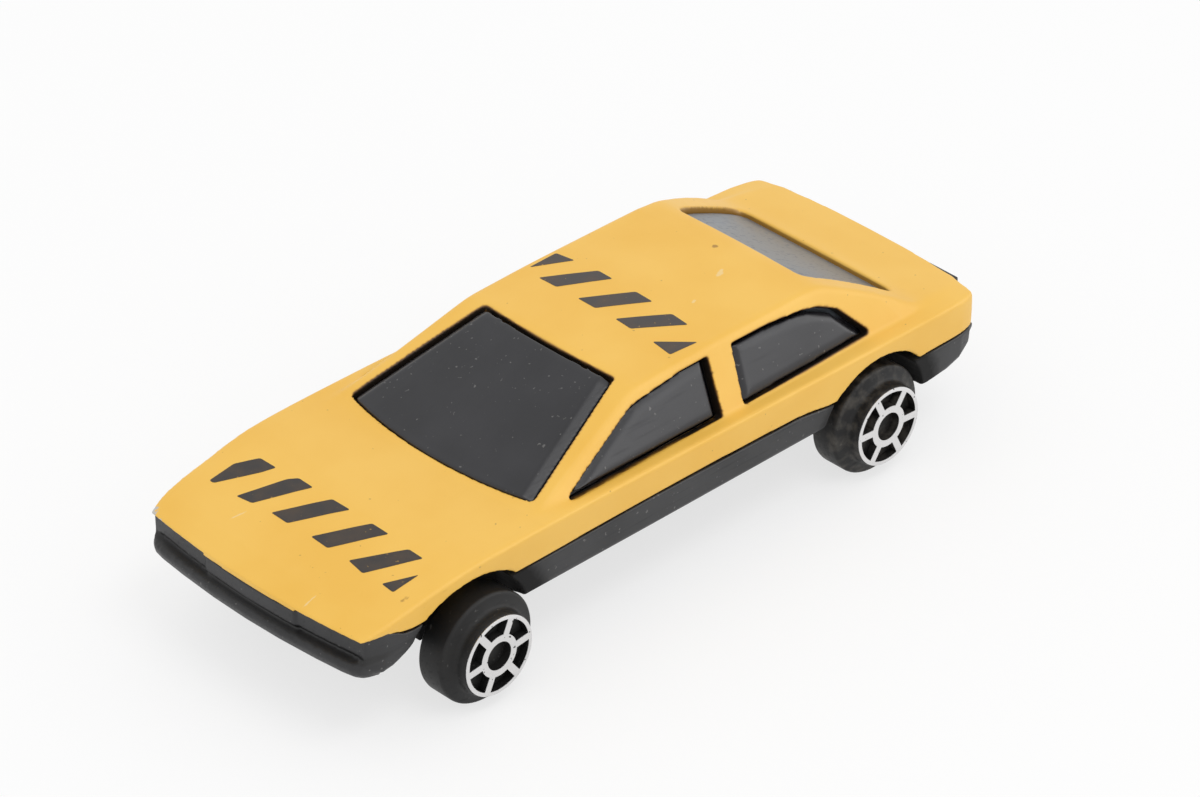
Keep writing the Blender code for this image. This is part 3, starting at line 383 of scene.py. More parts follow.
def enamel_on_zinc(colours):
    """Sprayed yellow enamel on a zinc casting: soft sheen, faint peel, a few nibs, bare metal at knocks, and
    painted shade in the window reveals.
    """
    material, tree, shader, place = new_material("yellow_enamel_sprayed_on_zinc")
    cloud = add_node(tree, "ShaderNodeTexNoise", {"Vector": place, "Scale": per(9.0), "Detail": 3.0})
    tone = add_node(tree, "ShaderNodeMapRange", {VALUE: cloud, FROM_LOW: 0.35, FROM_HIGH: 0.65})
    # Nibs of about 0.15 mm, in loose groups.
    grit = add_node(tree, "ShaderNodeTexNoise", {"Vector": place, "Scale": per(0.5), "Detail": 1.0})
    group = add_node(tree, "ShaderNodeTexNoise", {"Vector": place, "Scale": per(5.0), "Detail": 2.0})
    grouped = add_node(tree, "ShaderNodeMath", {0: group, 1: 0.18, 2: grit}, operation="MULTIPLY_ADD")
    nib = add_node(tree, "ShaderNodeMapRange", {
        VALUE: grouped, FROM_LOW: 0.868, FROM_HIGH: 0.9, TO_HIGH: 0.5})
    chip = rub_mask(tree, place, ZINC_CHIPS, 1.0)
    # Painted shade in the window reveals: near black, brown where it fades out.
    reveal = add_node(tree, "ShaderNodeAttribute", attribute_name="reveal").outputs["Fac"]
    fading = add_node(tree, "ShaderNodeMapRange", {VALUE: reveal, FROM_LOW: 0.0, FROM_HIGH: 0.5})
    packed = add_node(tree, "ShaderNodeMapRange", {VALUE: reveal, FROM_LOW: 0.5, FROM_HIGH: 1.0})
    coat = layered(
        tree, colours.paint, (tone, colours.deep_paint), (nib, colours.nib),
        (rub_mask(tree, place, PALE_RUBS, 0.45), colours.pale_rub),
        (rub_mask(tree, place, BROWN_RUBS, 0.7), colours.brown_dirt_and_shade),
        (chip, colours.zinc), (fading, colours.brown_dirt_and_shade), (packed, colours.reveal))
    rough = add_node(tree, "ShaderNodeMapRange", {VALUE: cloud, TO_LOW: 0.4, TO_HIGH: 0.5})
    # Orange peel of about 0.8 mm.
    peel = add_node(tree, "ShaderNodeTexNoise", {"Vector": place, "Scale": per(0.8), "Detail": 2.0})
    bump = add_node(tree, "ShaderNodeBump", {"Height": peel, "Strength": 0.1, "Distance": 0.05 * MM})
    set_inputs(tree, shader, {
        "Base Color": coat, "Metallic": chip, "Roughness": rough, "Normal": bump, "IOR": 1.5})
    return material


def black_plastic(name, black, film_colour, grain_colour, roughness, film_share, grain_share):
    """Moulded black plastic: dull gloss, a cloudy film, fine handling scratches and pale dust grains."""
    material, tree, shader, place = new_material(name)
    cloud = add_node(tree, "ShaderNodeTexNoise", {"Vector": place, "Scale": per(6.0), "Detail": 4.0})
    film = add_node(tree, "ShaderNodeMapRange", {
        VALUE: cloud, FROM_LOW: 0.35, FROM_HIGH: 0.7, TO_HIGH: film_share})
    # Dust grains of about 0.12 mm.
    grit = add_node(tree, "ShaderNodeTexNoise", {"Vector": place, "Scale": per(0.4), "Detail": 1.0})
    grain = add_node(tree, "ShaderNodeMapRange", {
        VALUE: grit, FROM_LOW: 0.71, FROM_HIGH: 0.78, TO_HIGH: grain_share})
    specked = layered(tree, black, (film, film_colour), (grain, grain_colour))
    # Scratches run mostly along the car, about 0.1 mm wide and 2 mm long.
    stretch = add_node(tree, "ShaderNodeMapping",
                       {"Vector": place, "Rotation": (0.0, 0.0, 0.5), "Scale": (0.06, 1.0, 1.0)})
    lines = add_node(tree, "ShaderNodeTexNoise", {"Vector": stretch, "Scale": per(0.3), "Detail": 2.0})
    worn = add_node(tree, "ShaderNodeMapRange", {
        VALUE: lines, FROM_LOW: 0.55, FROM_HIGH: 0.75, TO_LOW: roughness, TO_HIGH: roughness + 0.16})
    bump = add_node(tree, "ShaderNodeBump", {"Height": lines, "Strength": 0.04, "Distance": 0.03 * MM})
    set_inputs(tree, shader, {"Base Color": specked, "Roughness": worn, "Normal": bump, "IOR": 1.5})
    return material


def overcoat(material, shares):
    """Lays more colours over a black plastic; each share is made from the tree and the place on the piece."""
    tree = material.node_tree
    shader = tree.nodes["Principled BSDF"]
    place = tree.nodes["Texture Coordinate"].outputs["Object"]
    coat = shader.inputs["Base Color"].links[0].from_socket
    coat = layered(tree, coat, *((share(tree, place), over) for share, over in shares))
    set_inputs(tree, shader, {"Base Color": coat})
    return material


def rear_pane_reflection(tree, place):
    """Painted reflection, even over the rear pane, none ahead of it."""
    along = add_node(tree, "ShaderNodeSeparateXYZ", {0: place})
    behind = add_node(tree, "ShaderNodeMapRange", {
        VALUE: along.outputs["X"], FROM_LOW: -18.0 * MM, FROM_HIGH: -19.0 * MM, TO_HIGH: 0.6})
    aside = add_node(tree, "ShaderNodeMath", {0: along.outputs["Y"]}, operation="ABSOLUTE")
    between = add_node(tree, "ShaderNodeMapRange", {VALUE: aside, FROM_LOW: 9.9 * MM, FROM_HIGH: 9.6 * MM})
    return add_node(tree, "ShaderNodeMath", {0: behind, 1: between}, operation="MULTIPLY")


def pane_scratch(tree, place):
    """One scratch across the windscreen."""
    return rub_mask(tree, place, PANE_SCRATCHES, 0.8)


def nose_shade(tree, place):
    """Painted shade, darker towards the nose."""
    along = add_node(tree, "ShaderNodeSeparateXYZ", {0: place})
    return add_node(tree, "ShaderNodeMapRange", {
        VALUE: along.outputs["X"], FROM_LOW: 32.0 * MM, FROM_HIGH: 34.0 * MM, TO_HIGH: 0.12})


def ledge_shade(tree, place):
    """Painted shade in the recess over the bumper bar, with a broken edge."""
    return rub_mask(tree, place, LEDGE, 0.9, 0.7, (1.3, 0.7))


def arch_shade(tree, place):
    """Painted shade in the arches."""
    return rub_mask(tree, place, SHADED, 0.95, 0.08, (1.25, 0.95))


def dust_blotches(tree, place):
    """Dry dust in blotches of about 1 mm."""
    blotch = add_node(tree, "ShaderNodeTexNoise", {"Vector": place, "Scale": per(1.1), "Detail": 4.0})
    return add_node(tree, "ShaderNodeMapRange", {VALUE: blotch, FROM_LOW: 0.46, FROM_HIGH: 0.7, TO_HIGH: 0.6})


def glazing(colours):
    """Glossy black window plastic: a scratch with paint in it, and a painted grey reflection on the rear
    pane.
    """
    plastic = black_plastic("polystyrene_black_moulded_gloss", colours.pane, colours.pane_film,
                            colours.dust_grain, 0.3, 0.6, 0.3)
    return overcoat(plastic, ((rear_pane_reflection, colours.rear_reflection), (pane_scratch, colours.pane_scratch)))


def base_plastic(colours):
    """Satin black base plastic: a dusty film, and painted shade at the nose, in the arches and over the
    bumper bar.
    """
    plastic = black_plastic("polypropylene_black_moulded_satin", colours.base, colours.base_film,
                            colours.dust_grain, 0.42, 0.7, 0.3)
    overcoat(plastic, ((nose_shade, colours.base_shade), (ledge_shade, colours.base_shade),
                       (arch_shade, colours.base_shade)))
    tree = plastic.node_tree
    shader = tree.nodes["Principled BSDF"]
    dull = arch_shade(tree, tree.nodes["Texture Coordinate"].outputs["Object"])
    rough = add_node(tree, "ShaderNodeMath", {0: shader.inputs["Roughness"].links[0].from_socket, 1: dull},
                     operation="MAXIMUM")
    set_inputs(tree, shader, {"Roughness": rough})
    return plastic


def wheel_plastic(name, colours, shares):
    """Matt black wheel plastic, with or without road dust."""
    plastic = black_plastic(name, colours.wheel, colours.wheel_film, colours.dust_grain, 0.5, 0.8, 0.12)
    plastic.node_tree.nodes["Principled BSDF"].inputs["Specular IOR Level"].default_value = 0.3
    return overcoat(plastic, shares)


def stamped_foil(colours):
    """Hot-stamped aluminium foil: bright, slightly crinkled, flaked off in small black spots."""
    material, tree, shader, place = new_material("aluminium_foil_hot_stamped")
    grit = add_node(tree, "ShaderNodeTexNoise", {"Vector": place, "Scale": per(0.45), "Detail": 2.0})
    flake = add_node(tree, "ShaderNodeMapRange", {VALUE: grit, FROM_LOW: 0.68, FROM_HIGH: 0.71})
    coat = layered(tree, colours.foil, (flake, colours.foil_flake))
    metal = add_node(tree, "ShaderNodeMath", {0: 1.0, 1: flake}, operation="SUBTRACT")
    rough = add_node(tree, "ShaderNodeMapRange", {VALUE: grit, TO_LOW: 0.32, TO_HIGH: 0.44})
    # Crinkles of about 0.35 mm.
    crinkle = add_node(tree, "ShaderNodeTexNoise", {"Vector": place, "Scale": per(0.35), "Detail": 2.0})
    bump = add_node(tree, "ShaderNodeBump", {"Height": crinkle, "Strength": 0.2, "Distance": 0.03 * MM})
    set_inputs(tree, shader, {"Base Color": coat, "Metallic": metal, "Roughness": rough, "Normal": bump})
    return material


def pad_printed_ink(name, ink, colours):
    """Pad-printed black ink on enamel: flat, warm where it is thin, with worn-through specks."""
    material, tree, shader, place = new_material(name)
    cloud = add_node(tree, "ShaderNodeTexNoise", {"Vector": place, "Scale": per(1.8), "Detail": 4.0})
    thin = add_node(tree, "ShaderNodeMapRange", {VALUE: cloud, FROM_LOW: 0.4, FROM_HIGH: 0.8, TO_HIGH: 0.3})
    # Pinholes of about 0.1 mm.
    grit = add_node(tree, "ShaderNodeTexNoise", {"Vector": place, "Scale": per(0.3), "Detail": 1.0})
    pin = add_node(tree, "ShaderNodeMapRange", {VALUE: grit, FROM_LOW: 0.75, FROM_HIGH: 0.8, TO_HIGH: 0.35})
    coat = layered(tree, ink, (thin, colours.thin_ink), (pin, colours.paint))
    rough = add_node(tree, "ShaderNodeMapRange", {VALUE: cloud, TO_LOW: 0.45, TO_HIGH: 0.6})
    set_inputs(tree, shader, {"Base Color": coat, "Roughness": rough})
    return material


def drawn_steel(colours):
    """Bright drawn steel pin: metal with fine turned rings 0.2 mm apart."""
    material, tree, shader, place = new_material("steel_drawn_pin")
    stretch = add_node(tree, "ShaderNodeMapping", {"Vector": place, "Scale": (0.05, 1.0, 0.05)})
    rings = add_node(tree, "ShaderNodeTexNoise", {"Vector": stretch, "Scale": per(0.2)})
    coat = layered(tree, colours.steel, (rings, colours.bright_steel))
    rough = add_node(tree, "ShaderNodeMapRange", {VALUE: rings, TO_LOW: 0.25, TO_HIGH: 0.4})
    set_inputs(tree, shader, {"Base Color": coat, "Metallic": 1.0, "Roughness": rough})
    return material


def deselect():
    """Nothing selected and no edit mode, so an operator acts only on what comes next."""
    if bpy.context.object and bpy.context.object.mode != "OBJECT":
        bpy.ops.object.mode_set(mode="OBJECT")
    bpy.ops.object.select_all(action="DESELECT")


def make_active(piece):
    """Only this piece selected and active."""
    deselect()
    piece.select_set(True)
    bpy.context.view_layer.objects.active = piece


def modify(piece, kind, **settings):
    """A modifier with its settings, applied at once."""
    make_active(piece)
    modifier = piece.modifiers.new(kind.lower(), kind)
    for name, value in settings.items():
        setattr(modifier, name, value)
    bpy.ops.object.modifier_apply(modifier=modifier.name)


def softened_copy(node, name, grain, triangles, regions, shape=None):
    """A copy of a CAD node with its edges rounded as casting, moulding and paint leave them.

    A shape is a step that forms the fine mesh before it is smoothed region by region."""
    piece = bpy.data.objects.new(name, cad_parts[node].data.copy())
    bpy.context.scene.collection.objects.link(piece)
    piece.data.materials.clear()
    make_active(piece)
    bpy.ops.object.mode_set(mode="EDIT")
    bpy.ops.mesh.select_all(action="SELECT")
    bpy.ops.mesh.remove_doubles(threshold=WELD * MM)
    bpy.ops.object.mode_set(mode="OBJECT")
    modify(piece, "REMESH", mode="VOXEL", voxel_size=grain, adaptivity=0.0)
    if shape:
        shape(piece)
    for low, high, fade, passes in regions:
        low, high = [c * MM for c in low], [c * MM for c in high]
        group = piece.vertex_groups.new(name="soft")
        for vertex in piece.data.vertices:
            inside = min(min(c - a, b - c) for c, a, b in zip(vertex.co, low, high))
            if inside > 0.0:
                group.add((vertex.index,), min(1.0, inside / (fade * MM)), "REPLACE")
        modify(piece, "SMOOTH", factor=0.5, iterations=passes, vertex_group="soft")
        piece.vertex_groups.clear()
    count = sum(len(face.vertices) - 2 for face in piece.data.polygons)
    modify(piece, "DECIMATE", ratio=min(1.0, triangles / count))
    make_active(piece)
    bpy.ops.object.shade_smooth()
    modify(piece, "WEIGHTED_NORMAL", mode="FACE_AREA", weight=50, keep_sharp=False)
    return piece


def settle(piece, material, body, slot, *nodes):
    """Gives a finished piece its material and its body, and hides the nodes it stands for. The slot is not
    used.
    """
    piece.data.materials.clear()
    piece.data.materials.append(material)
    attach(piece, body)
    if nodes:
        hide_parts(*nodes)


def turned(name, profile, segments):
    """A closed solid of revolution about Z, drawn out ring by ring from a filled circle."""
    deselect()
    radius, height = profile[0]
    bpy.ops.mesh.primitive_circle_add(vertices=segments, radius=radius, fill_type="NGON",
                                      location=(0.0, 0.0, height))
    piece = bpy.context.object
    piece.name = name
    bpy.ops.object.transform_apply(location=True, rotation=True, scale=True)
    bpy.ops.object.mode_set(mode="EDIT")
    bpy.ops.mesh.select_all(action="SELECT")
    for next_radius, next_height in profile[1:]:
        bpy.ops.mesh.extrude_region_move(TRANSFORM_OT_translate={"value": (0.0, 0.0, next_height - height)})
        grow = next_radius / radius
        bpy.ops.transform.resize(value=(grow, grow, 1.0), center_override=(0.0, 0.0, 0.0))
        radius, height = next_radius, next_height
    bpy.ops.mesh.select_all(action="SELECT")
    bpy.ops.mesh.normals_make_consistent(inside=False)
    bpy.ops.object.mode_set(mode="OBJECT")
    return piece


def cut_away(piece, cutter, keep_cutter=False):
    """Boolean difference, applied, and the cutter taken away."""
    modify(piece, "BOOLEAN", operation="DIFFERENCE", solver="EXACT", object=cutter)
    if not keep_cutter:
        bpy.data.objects.remove(cutter, do_unlink=True)


def share_between(value, low, high):
    """How far a value has come from low to high, from 0 to 1."""
    return min(1.0, max(0.0, (value - low) / (high - low)))


def widen_nose(vertex):
    """Sets a point near the front corners a little further out."""
    x, y, _ = vertex.co / MM
    share = share_between(x, NOSE_START, NOSE_START + NOSE_FADE)
    share *= share_between(abs(y), CORNER_START, CORNER_END)
    vertex.co.y += math.copysign(NOSE_WIDEN * MM * share, y)


def shape_nose(piece):
    """Lifts the lower edge of the hood's lip, so that more of the black band shows under it."""
    for vertex in piece.data.vertices:
        widen_nose(vertex)
        x, _, z = vertex.co / MM
        if x > LIP_START:
            ahead = share_between(x, LIP_START, LIP_START + LIP_FADE)
            vertex.co.z += LIP_LIFT * MM * (ahead * share_between(z, LIP_TOP, LIP_TOP - LIP_HEIGHT))


def shape_base(piece):
    """Forms the nose and tail of the base.

    Sets the band back under the hood's lip, flat and upright, presses a groove in over the bumper bar, lets
    the bar reach further on the right, and sets the tail lamp blocks lower."""
    for vertex in piece.data.vertices:
        widen_nose(vertex)
        x, y, z = vertex.co / MM
        ahead = share_between(x, LIP_START, LIP_START + LIP_FADE)
        if x > LIP_START and z > BAND_FOOT:
            share = ahead * share_between(z, BAND_FOOT, BAND_FOOT + BAND_FADE)
            vertex.co.z = MM * max(z, min(BAND_TOP, z + BAND_LIFT * share))
            beyond = share_between(abs(y), PANEL_HALF - STEP_HALF, PANEL_HALF + STEP_HALF)
            face = NOSE_REACH - NOSE_BOW * y * y - (BAND_RECESS + BAND_STEP * beyond)
            foot = share_between(z, BAND_FOOT + FOOT_FADE, BAND_FOOT)
            vertex.co.x = MM * min(x, face + (x - face) * foot)
        reach = abs(z - GROOVE_LEVEL) / GROOVE_HALF
        if x > GROOVE_START and reach < 1.0:
            share = share_between(x, GROOVE_START, GROOVE_START + GROOVE_FADE)
            share *= share_between(abs(y), GROOVE_END, GROOVE_FULL)
            vertex.co.x -= GROOVE_DEPTH * MM * share * (1.0 - reach * reach)
        if x > LIP_START and z <= BAND_FOOT + BAR_FADE and y < 0.0:
            out = BAR_REACH * MM * share_between(-y, CORNER_START, CORNER_END)
            vertex.co.y -= out * share_between(z, BAND_FOOT + BAR_FADE, BAND_FOOT)
        if x < LAMP_START and z > LAMP_FOOT:
            sink = LEFT_SINK if y > 0.0 else RIGHT_SINK
            vertex.co.z -= sink * MM * min(1.0, z - LAMP_FOOT)


def mark_reveal_shade(shell):
    """Writes the attribute for painted shade in the window reveals: the parts that stand across a window
    opening and look into it.
    """
    marks = shell.data.attributes.new("reveal", "FLOAT", "POINT")
    bpy.context.view_layer.update()
    for low, high, middle, facing, share in OPENINGS:
        low, high, middle, facing = Vector(low) * MM, Vector(high) * MM, Vector(middle) * MM, Vector(facing)
        for vertex in shell.data.vertices:
            spot, normal = vertex.co, vertex.normal
            turned_away = REVEAL_TURN - normal.dot(facing)
            if turned_away < 0.0 or not all(a < c < b for a, c, b in zip(low, spot, high)):
                continue
            if turned_away < REVEAL_TURN:
                if normal.dot(middle - spot) < 0.0:
                    continue
                across = (normal - normal.dot(facing) * facing).normalized()
                start = spot + RAY_ACROSS * MM * across + RAY_ALONG * MM * facing
                if not shell.ray_cast(start, across, distance=RAY_REACH * MM)[0]:
                    continue
            marks.data[vertex.index].value = share * min(1.0, turned_away / REVEAL_FADE)
    count = len(marks.data)
    values = numpy.zeros(count, dtype=numpy.float32)
    marks.data.foreach_get("value", values)
    ends = numpy.zeros(2 * len(shell.data.edges), dtype=numpy.int32)
    shell.data.edges.foreach_get("vertices", ends)
    first, last = ends[0::2], ends[1::2]
    joined = numpy.bincount(ends, minlength=count)
    for _ in range(REVEAL_PASSES):
        sums = numpy.bincount(first, values[last], count) + numpy.bincount(last, values[first], count)
        values = 0.5 * values + 0.5 * sums / numpy.maximum(joined, 1)
    marks.data.foreach_set("value", values.astype(numpy.float32))


def inward_lines(outline, inside, falls):
    """For each edge of an outline, a point on it, the direction that looks inwards and its fall."""
    lines = []
    for first, last, fall in zip(outline, outline[1:], falls):
        first, last = Vector(first), Vector(last)
        inward = Vector((first.y - last.y, last.x - first.x)).normalized()
        if inward.dot(Vector(inside) - first) < 0.0:
            inward.negate()
        lines.append((first, inward, fall))
    return lines


def pane_fall(spot, lines, width, power):
    """How far a pane falls away at a spot: most at the edges, nothing further in than the width.

    None for a spot outside the outline."""
    deepest = 0.0
    for point, inward, fall in lines:
        depth = (spot - point).dot(inward)
        if depth < -PANE_MARGIN:
            return None
        deepest = max(deepest, fall * max(0.0, 1.0 - max(0.0, depth - EDGE_GAP) / width) ** power)
    return deepest


def dome_panes(piece):
    """Lets each pane fall away towards the edges of its opening: a straight bevel round the windscreen,
    a rounded one on the side lights."""
    screen = inward_lines(*SCREEN_LINE)
    sides = (inward_lines(*DOOR_LINE), inward_lines(*QUARTER_LINE))
    cos_side, sin_side = math.cos(SIDE_TILT), math.sin(SIDE_TILT)
    cos_screen, sin_screen = math.cos(SCREEN_TILT), math.sin(SCREEN_TILT)
    for vertex in piece.data.vertices:
        x, y, z = vertex.co / MM
        if z < PANE_FOOT:
            continue
        side = math.copysign(1.0, y)
        out = (abs(y) - SIDE_ORIGIN[0]) * cos_side + (z - SIDE_ORIGIN[1]) * sin_side
        up = (z - SIDE_ORIGIN[1]) * cos_side - (abs(y) - SIDE_ORIGIN[0]) * sin_side
        above = (z - SCREEN_FOOT[1]) * cos_screen - (SCREEN_FOOT[0] - x) * sin_screen
        if out > -SIDE_DEPTH:
            fall = max(pane_fall(Vector((x, up)), lines, SIDE_DOME, SIDE_POWER) or 0.0 for lines in sides)
            vertex.co += fall * MM * Vector((0.0, -side * cos_side, -sin_side))
        if above > -SCREEN_DEPTH and SCREEN_SPAN[0] < x < SCREEN_SPAN[1]:
            fall = pane_fall(Vector((x, abs(y))), screen, SCREEN_BEVEL, SCREEN_POWER)
            if fall is not None:
                vertex.co += (SCREEN_LIFT - fall) * MM * Vector((sin_screen, 0.0, cos_screen))


class CAR_OT_shell(bpy.types.Operator):
    """Painted casting with softly rounded edges"""

    bl_idname = "car.shell"
    bl_label = "Painted shell"

    def execute(self, context):
        sizes, colours = context.scene.car_sizes, context.scene.car_colours
        shell = softened_copy("body_shell", "painted_shell", sizes.cast_grain, SHELL_TRIANGLES,
                              SHELL_REGIONS, shape_nose)
        settle(shell, enamel_on_zinc(colours), "car_body", "yellow_paint", "body_shell")
        mark_reveal_shade(shell)
        return {"FINISHED"}


class CAR_OT_windows(bpy.types.Operator):
    """Black window moulding behind the openings"""

    bl_idname = "car.windows"
    bl_label = "Window moulding"

    def execute(self, context):
        sizes, colours = context.scene.car_sizes, context.scene.car_colours
        panes = softened_copy("window_moulding", "black_window_moulding", sizes.mould_grain, PANE_TRIANGLES,
                              PANE_REGIONS, dome_panes)
        settle(panes, glazing(colours), "car_body", "black_moulding", "window_moulding")
        return {"FINISHED"}


class CAR_OT_base(bpy.types.Operator):
    """Black base with bumpers, sills and axle carriers"""

    bl_idname = "car.base"
    bl_label = "Base plate"

    def execute(self, context):
        sizes, colours = context.scene.car_sizes, context.scene.car_colours
        base = softened_copy("base_plate", "black_base_plate", sizes.mould_grain, BASE_TRIANGLES,
                             BASE_REGIONS, shape_base)
        settle(base, base_plastic(colours), "car_body", "black_base", "base_plate")
        return {"FINISHED"}


class CAR_OT_wheels(bpy.types.Operator):
    """Four black wheels and the foils stamped on their faces"""

    bl_idname = "car.wheels"
    bl_label = "Wheels and foils"

    def wheel_profile(self, sizes):
        """Half section of a wheel, radius and height, from the inner side to the face at height zero."""
        tyre, hub = sizes.tyre_radius, sizes.hub_radius
        inner = -sizes.wheel_width
        edge = inner + sizes.tread_width
        round_in, round_out = sizes.inner_round, sizes.outer_round
        profile = [(tyre - BACK_RING * MM, inner), (tyre - round_in, inner)]
        for angle in map(math.radians, INNER_STEPS):
            profile.append((tyre - round_in * (1.0 - math.sin(angle)),
                            inner + round_in * (1.0 - math.cos(angle))))
        for angle in map(math.radians, OUTER_STEPS):
            profile.append((tyre - round_out * (1.0 - math.cos(angle)),
                            edge - round_out * (1.0 - math.sin(angle))))
        profile += [(hub + out * MM, edge + up * MM) for out, up in HUB_FOOT]
        profile += [(hub - back * MM, -down * MM) for back, down in HUB_RIM]
        return profile

    def face_cutters(self, sizes):
        """The ring of pockets between six spokes, and the round eye in the middle."""
        top, bottom = CUTTER_TOP * MM, -sizes.pocket_depth
        outer, inner, eye = sizes.pocket_outer, sizes.pocket_inner, sizes.eye_radius
        pockets = turned("pocket_ring", [(outer, bottom), (outer, top)], POCKET_POINTS)
        cut_away(pockets, turned("land_core", [(inner, 2.0 * bottom), (inner, 2.0 * top)], EYE_POINTS))
        for turn in range(SPOKE_BARS):
            deselect()
            bpy.ops.mesh.primitive_cube_add(size=1.0)
            bar = bpy.context.object
            bar.scale = (3.0 * outer, sizes.spoke_width, 4.0 * sizes.pocket_depth)
            bar.rotation_euler.z = math.radians(SPOKE_ANGLE * turn)
            cut_away(pockets, bar)
        return pockets, turned("hub_eye", [(eye, bottom), (eye, top)], EYE_POINTS)

    def execute(self, context):
        sizes, colours = context.scene.car_sizes, context.scene.car_colours
        clean = wheel_plastic("polystyrene_black_wheel_moulded", colours, ())
        dusty = wheel_plastic("polystyrene_black_wheel_dusty", colours, ((dust_blotches, colours.road_dust),))
        silver = stamped_foil(colours)
        pattern = turned("wheel_pattern", self.wheel_profile(sizes), WHEEL_POINTS)
        rim, lip = sizes.hub_radius - FOIL_INSET * MM, FOIL_EDGE * sizes.foil_height
        foil_profile = [(rim, 0.0), (rim, lip), (rim - FOIL_CHAMFER * MM, sizes.foil_height)]
        foil_pattern = turned("foil_pattern", foil_profile, WHEEL_POINTS)
        for cutter in self.face_cutters(sizes):
            cut_away(pattern, cutter, keep_cutter=True)
            cut_away(foil_pattern, cutter)
        for corner in CORNERS:
            end, side = corner.split("_")
            low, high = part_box("foil_" + corner)
            sign = 1.0 if side == "left" else -1.0
            face = low.y if sign > 0.0 else high.y
            centre = Vector((0.5 * (low.x + high.x), face, 0.5 * (low.z + high.z)))
            phase = sizes.front_phase if end == "front" else sizes.rear_phase
            turn = Matrix.Rotation(-sign * 0.5 * math.pi, 4, "X") @ Matrix.Rotation(phase, 4, "Z")
            black = clean if end == "front" else dusty
            for source, kind, material, slot in ((pattern, "wheel_", black, "black_wheel"),
                                                 (foil_pattern, "foil_", silver, "silver_foil")):
                piece = source.copy()
                piece.data = source.data.copy()
                piece.name = "turned_" + kind + corner
                context.scene.collection.objects.link(piece)
                piece.matrix_world = Matrix.Translation(centre) @ turn
                make_active(piece)
                bpy.ops.object.transform_apply(location=True, rotation=True, scale=True)
                bpy.ops.object.shade_smooth_by_angle(angle=WHEEL_SHADE)
                settle(piece, material, end + "_wheelset", slot, kind + corner)
        for source in (pattern, foil_pattern):
            bpy.data.objects.remove(source, do_unlink=True)
        return {"FINISHED"}


class CAR_OT_axles(bpy.types.Operator):
    """Steel finish for the axle pins"""

    bl_idname = "car.axles"
    bl_label = "Axle pins"

    def execute(self, context):
        steel = drawn_steel(context.scene.car_colours)
        for end in ENDS:
            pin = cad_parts["axle_" + end].data
            pin.materials.clear()
            pin.materials.append(steel)
        return {"FINISHED"}


class CAR_OT_dashes(bpy.types.Operator):
    """Printed black dashes across the hood and the roof"""

    bl_idname = "car.dashes"
    bl_label = "Printed dashes"

    def execute(self, context):
        shell = bpy.data.objects.get("painted_shell")
        if shell is None:
            raise RuntimeError("the dashes lie on the painted shell, which isn't there yet")
        sizes, colours = context.scene.car_sizes, context.scene.car_colours
        for group, dashes, ink in (("hood", HOOD_DASHES, colours.hood_ink),
                                   ("roof", ROOF_DASHES, colours.roof_ink)):
            material = pad_printed_ink("black_ink_pad_printed_" + group, ink, colours)
            for number, corners in enumerate(dashes, 1):
                deselect()
                bpy.ops.mesh.primitive_circle_add(vertices=len(corners), radius=1.0 * MM, fill_type="NGON")
                dash = bpy.context.object
                dash.name = "ink_dash_" + group + "_" + str(number)
                for vertex, (x, y) in zip(dash.data.vertices, corners):
                    vertex.co = (x * MM, y * MM, DASH_DROP * MM)
                bpy.ops.object.mode_set(mode="EDIT")
                bpy.ops.mesh.select_all(action="SELECT")
                bpy.ops.mesh.normals_make_consistent(inside=False)
                bpy.ops.mesh.bevel(offset=sizes.dash_corner, segments=3, affect="VERTICES")
                bpy.ops.mesh.select_all(action="SELECT")
                bpy.ops.mesh.quads_convert_to_tris()
                for _ in range(DASH_CUTS):
                    bpy.ops.mesh.subdivide(number_cuts=1)
                bpy.ops.object.mode_set(mode="OBJECT")
                modify(dash, "SHRINKWRAP", target=shell, wrap_method="PROJECT", use_project_z=True,
                       use_negative_direction=True, use_positive_direction=False)
                dash.data.transform(Matrix.Translation((0.0, 0.0, sizes.film)))
                if dash.data.polygons[0].normal.z < 0.0:
                    dash.data.flip_normals()
                modify(dash, "SOLIDIFY", thickness=INK_DEPTH * sizes.film, offset=-1.0)
                make_active(dash)
                bpy.ops.object.shade_smooth_by_angle(angle=DASH_SHADE)
                settle(dash, material, "car_body", "yellow_paint")
        return {"FINISHED"}


def seen_rays(tree):
    """Share of 1 for rays that come from the camera, straight or by gloss or glass."""
    path = add_node(tree, "ShaderNodeLightPath")
    seen = path.outputs["Is Camera Ray"]
    for kind in ("Is Glossy Ray", "Is Transmission Ray"):
        seen = add_node(tree, "ShaderNodeMath", {0: seen, 1: path.outputs[kind]}, operation="MAXIMUM")
    return seen


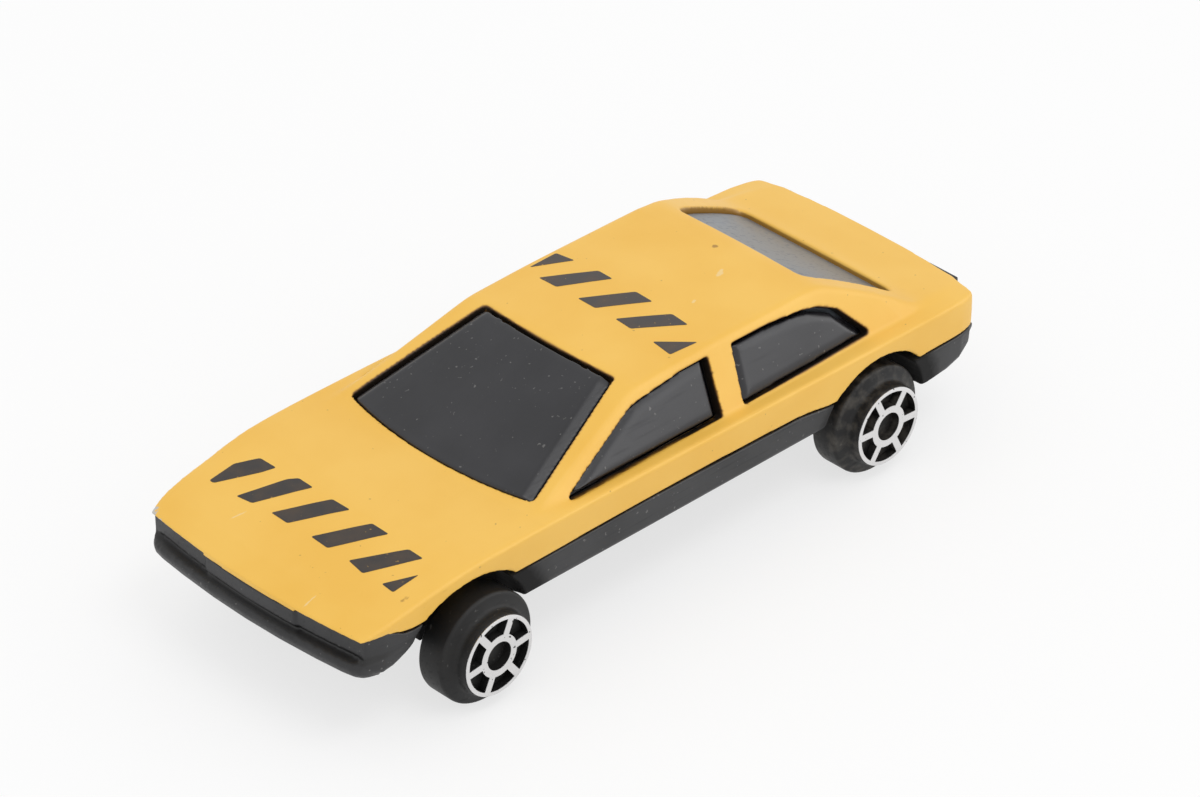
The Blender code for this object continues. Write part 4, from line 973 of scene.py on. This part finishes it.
class CAR_OT_stage(bpy.types.Operator):
    """Pale floor, soft light and the camera"""

    bl_idname = "car.stage"
    bl_label = "Stage"

    def execute(self, context):
        scene = context.scene
        scene.view_settings.view_transform = "Standard"
        deselect()
        bpy.ops.mesh.primitive_plane_add(size=FLOOR_SIZE)
        floor = bpy.context.object
        floor.name = "pale_floor"
        card = bpy.data.materials.new("white_card")
        card.use_nodes = True
        tree = card.node_tree
        tree.nodes.clear()
        paper = add_node(tree, "ShaderNodeBsdfDiffuse", {"Color": scene.car_colours.card})
        glow = add_node(tree, "ShaderNodeEmission", {"Color": WHITE, "Strength": 1.0})
        share = add_node(tree, "ShaderNodeMath", {0: seen_rays(tree), 1: FLOOR_GLOW}, operation="MULTIPLY")
        mixed = add_node(tree, "ShaderNodeMixShader", {0: share, 1: paper, 2: glow})
        add_node(tree, "ShaderNodeOutputMaterial", {"Surface": mixed})
        floor.data.materials.append(card)

        world = bpy.data.worlds.new("soft_tent")
        scene.world = world
        world.use_nodes = True
        tree = world.node_tree
        tree.nodes.clear()
        seen = seen_rays(tree)
        level = add_node(tree, "ShaderNodeMapRange", {VALUE: seen, TO_LOW: TENT_LEVEL, TO_HIGH: 1.0})
        sky = add_node(tree, "ShaderNodeBackground", {"Color": WHITE, "Strength": level})
        add_node(tree, "ShaderNodeOutputWorld", {"Surface": sky})

        for name, place, power, size, lights_all in SOFT_BOXES:
            lamp = bpy.data.lights.new(name, "AREA")
            lamp.shape = "RECTANGLE"
            lamp.energy = power
            lamp.size, lamp.size_y = size
            box = bpy.data.objects.new(name, lamp)
            scene.collection.objects.link(box)
            box.location = place
            aim = Vector(BOX_AIM) - Vector(place)
            box.rotation_euler = aim.to_track_quat("-Z", "Y").to_euler()
            box.visible_camera = False
            box.visible_diffuse = lights_all

        lens = bpy.data.cameras.new("photo_lens")
        lens.sensor_fit = "HORIZONTAL"
        lens.sensor_width = CAMERA_SENSOR
        lens.lens = CAMERA_LENS
        lens.clip_start = CAMERA_NEAR
        camera = bpy.data.objects.new("photo_camera", lens)
        scene.collection.objects.link(camera)
        camera.location = CAMERA_PLACE
        camera.rotation_euler = [math.radians(angle) for angle in CAMERA_TURN]
        scene.camera = camera
        return {"FINISHED"}


class CAR_PT_panel(bpy.types.Panel):
    """The car's pieces in the order they are made, with its sizes and colours"""

    bl_idname = "CAR_PT_panel"
    bl_label = "Die-cast sports car"
    bl_space_type = "VIEW_3D"
    bl_region_type = "UI"
    bl_category = "Car"

    def draw(self, context):
        for operator in OPERATORS:
            self.layout.operator(operator.bl_idname)
        for group in (context.scene.car_sizes, context.scene.car_colours):
            for name in type(group).__annotations__:
                self.layout.prop(group, name)


OPERATORS = (CAR_OT_shell, CAR_OT_windows, CAR_OT_base, CAR_OT_wheels, CAR_OT_axles, CAR_OT_dashes,
             CAR_OT_stage)
CLASSES = (CarColours, CarSizes) + OPERATORS + (CAR_PT_panel,)


def register():
    for cls in CLASSES:
        bpy.utils.register_class(cls)
    bpy.types.Scene.car_colours = bpy.props.PointerProperty(type=CarColours)
    bpy.types.Scene.car_sizes = bpy.props.PointerProperty(type=CarSizes)


def unregister():
    del bpy.types.Scene.car_sizes
    del bpy.types.Scene.car_colours
    for cls in reversed(CLASSES):
        bpy.utils.unregister_class(cls)


def main():
    register()
    bpy.ops.car.shell()
    bpy.ops.car.windows()
    bpy.ops.car.base()
    bpy.ops.car.wheels()
    bpy.ops.car.axles()
    bpy.ops.car.dashes()
    bpy.ops.car.stage()


if __name__ == "__main__":
    main()
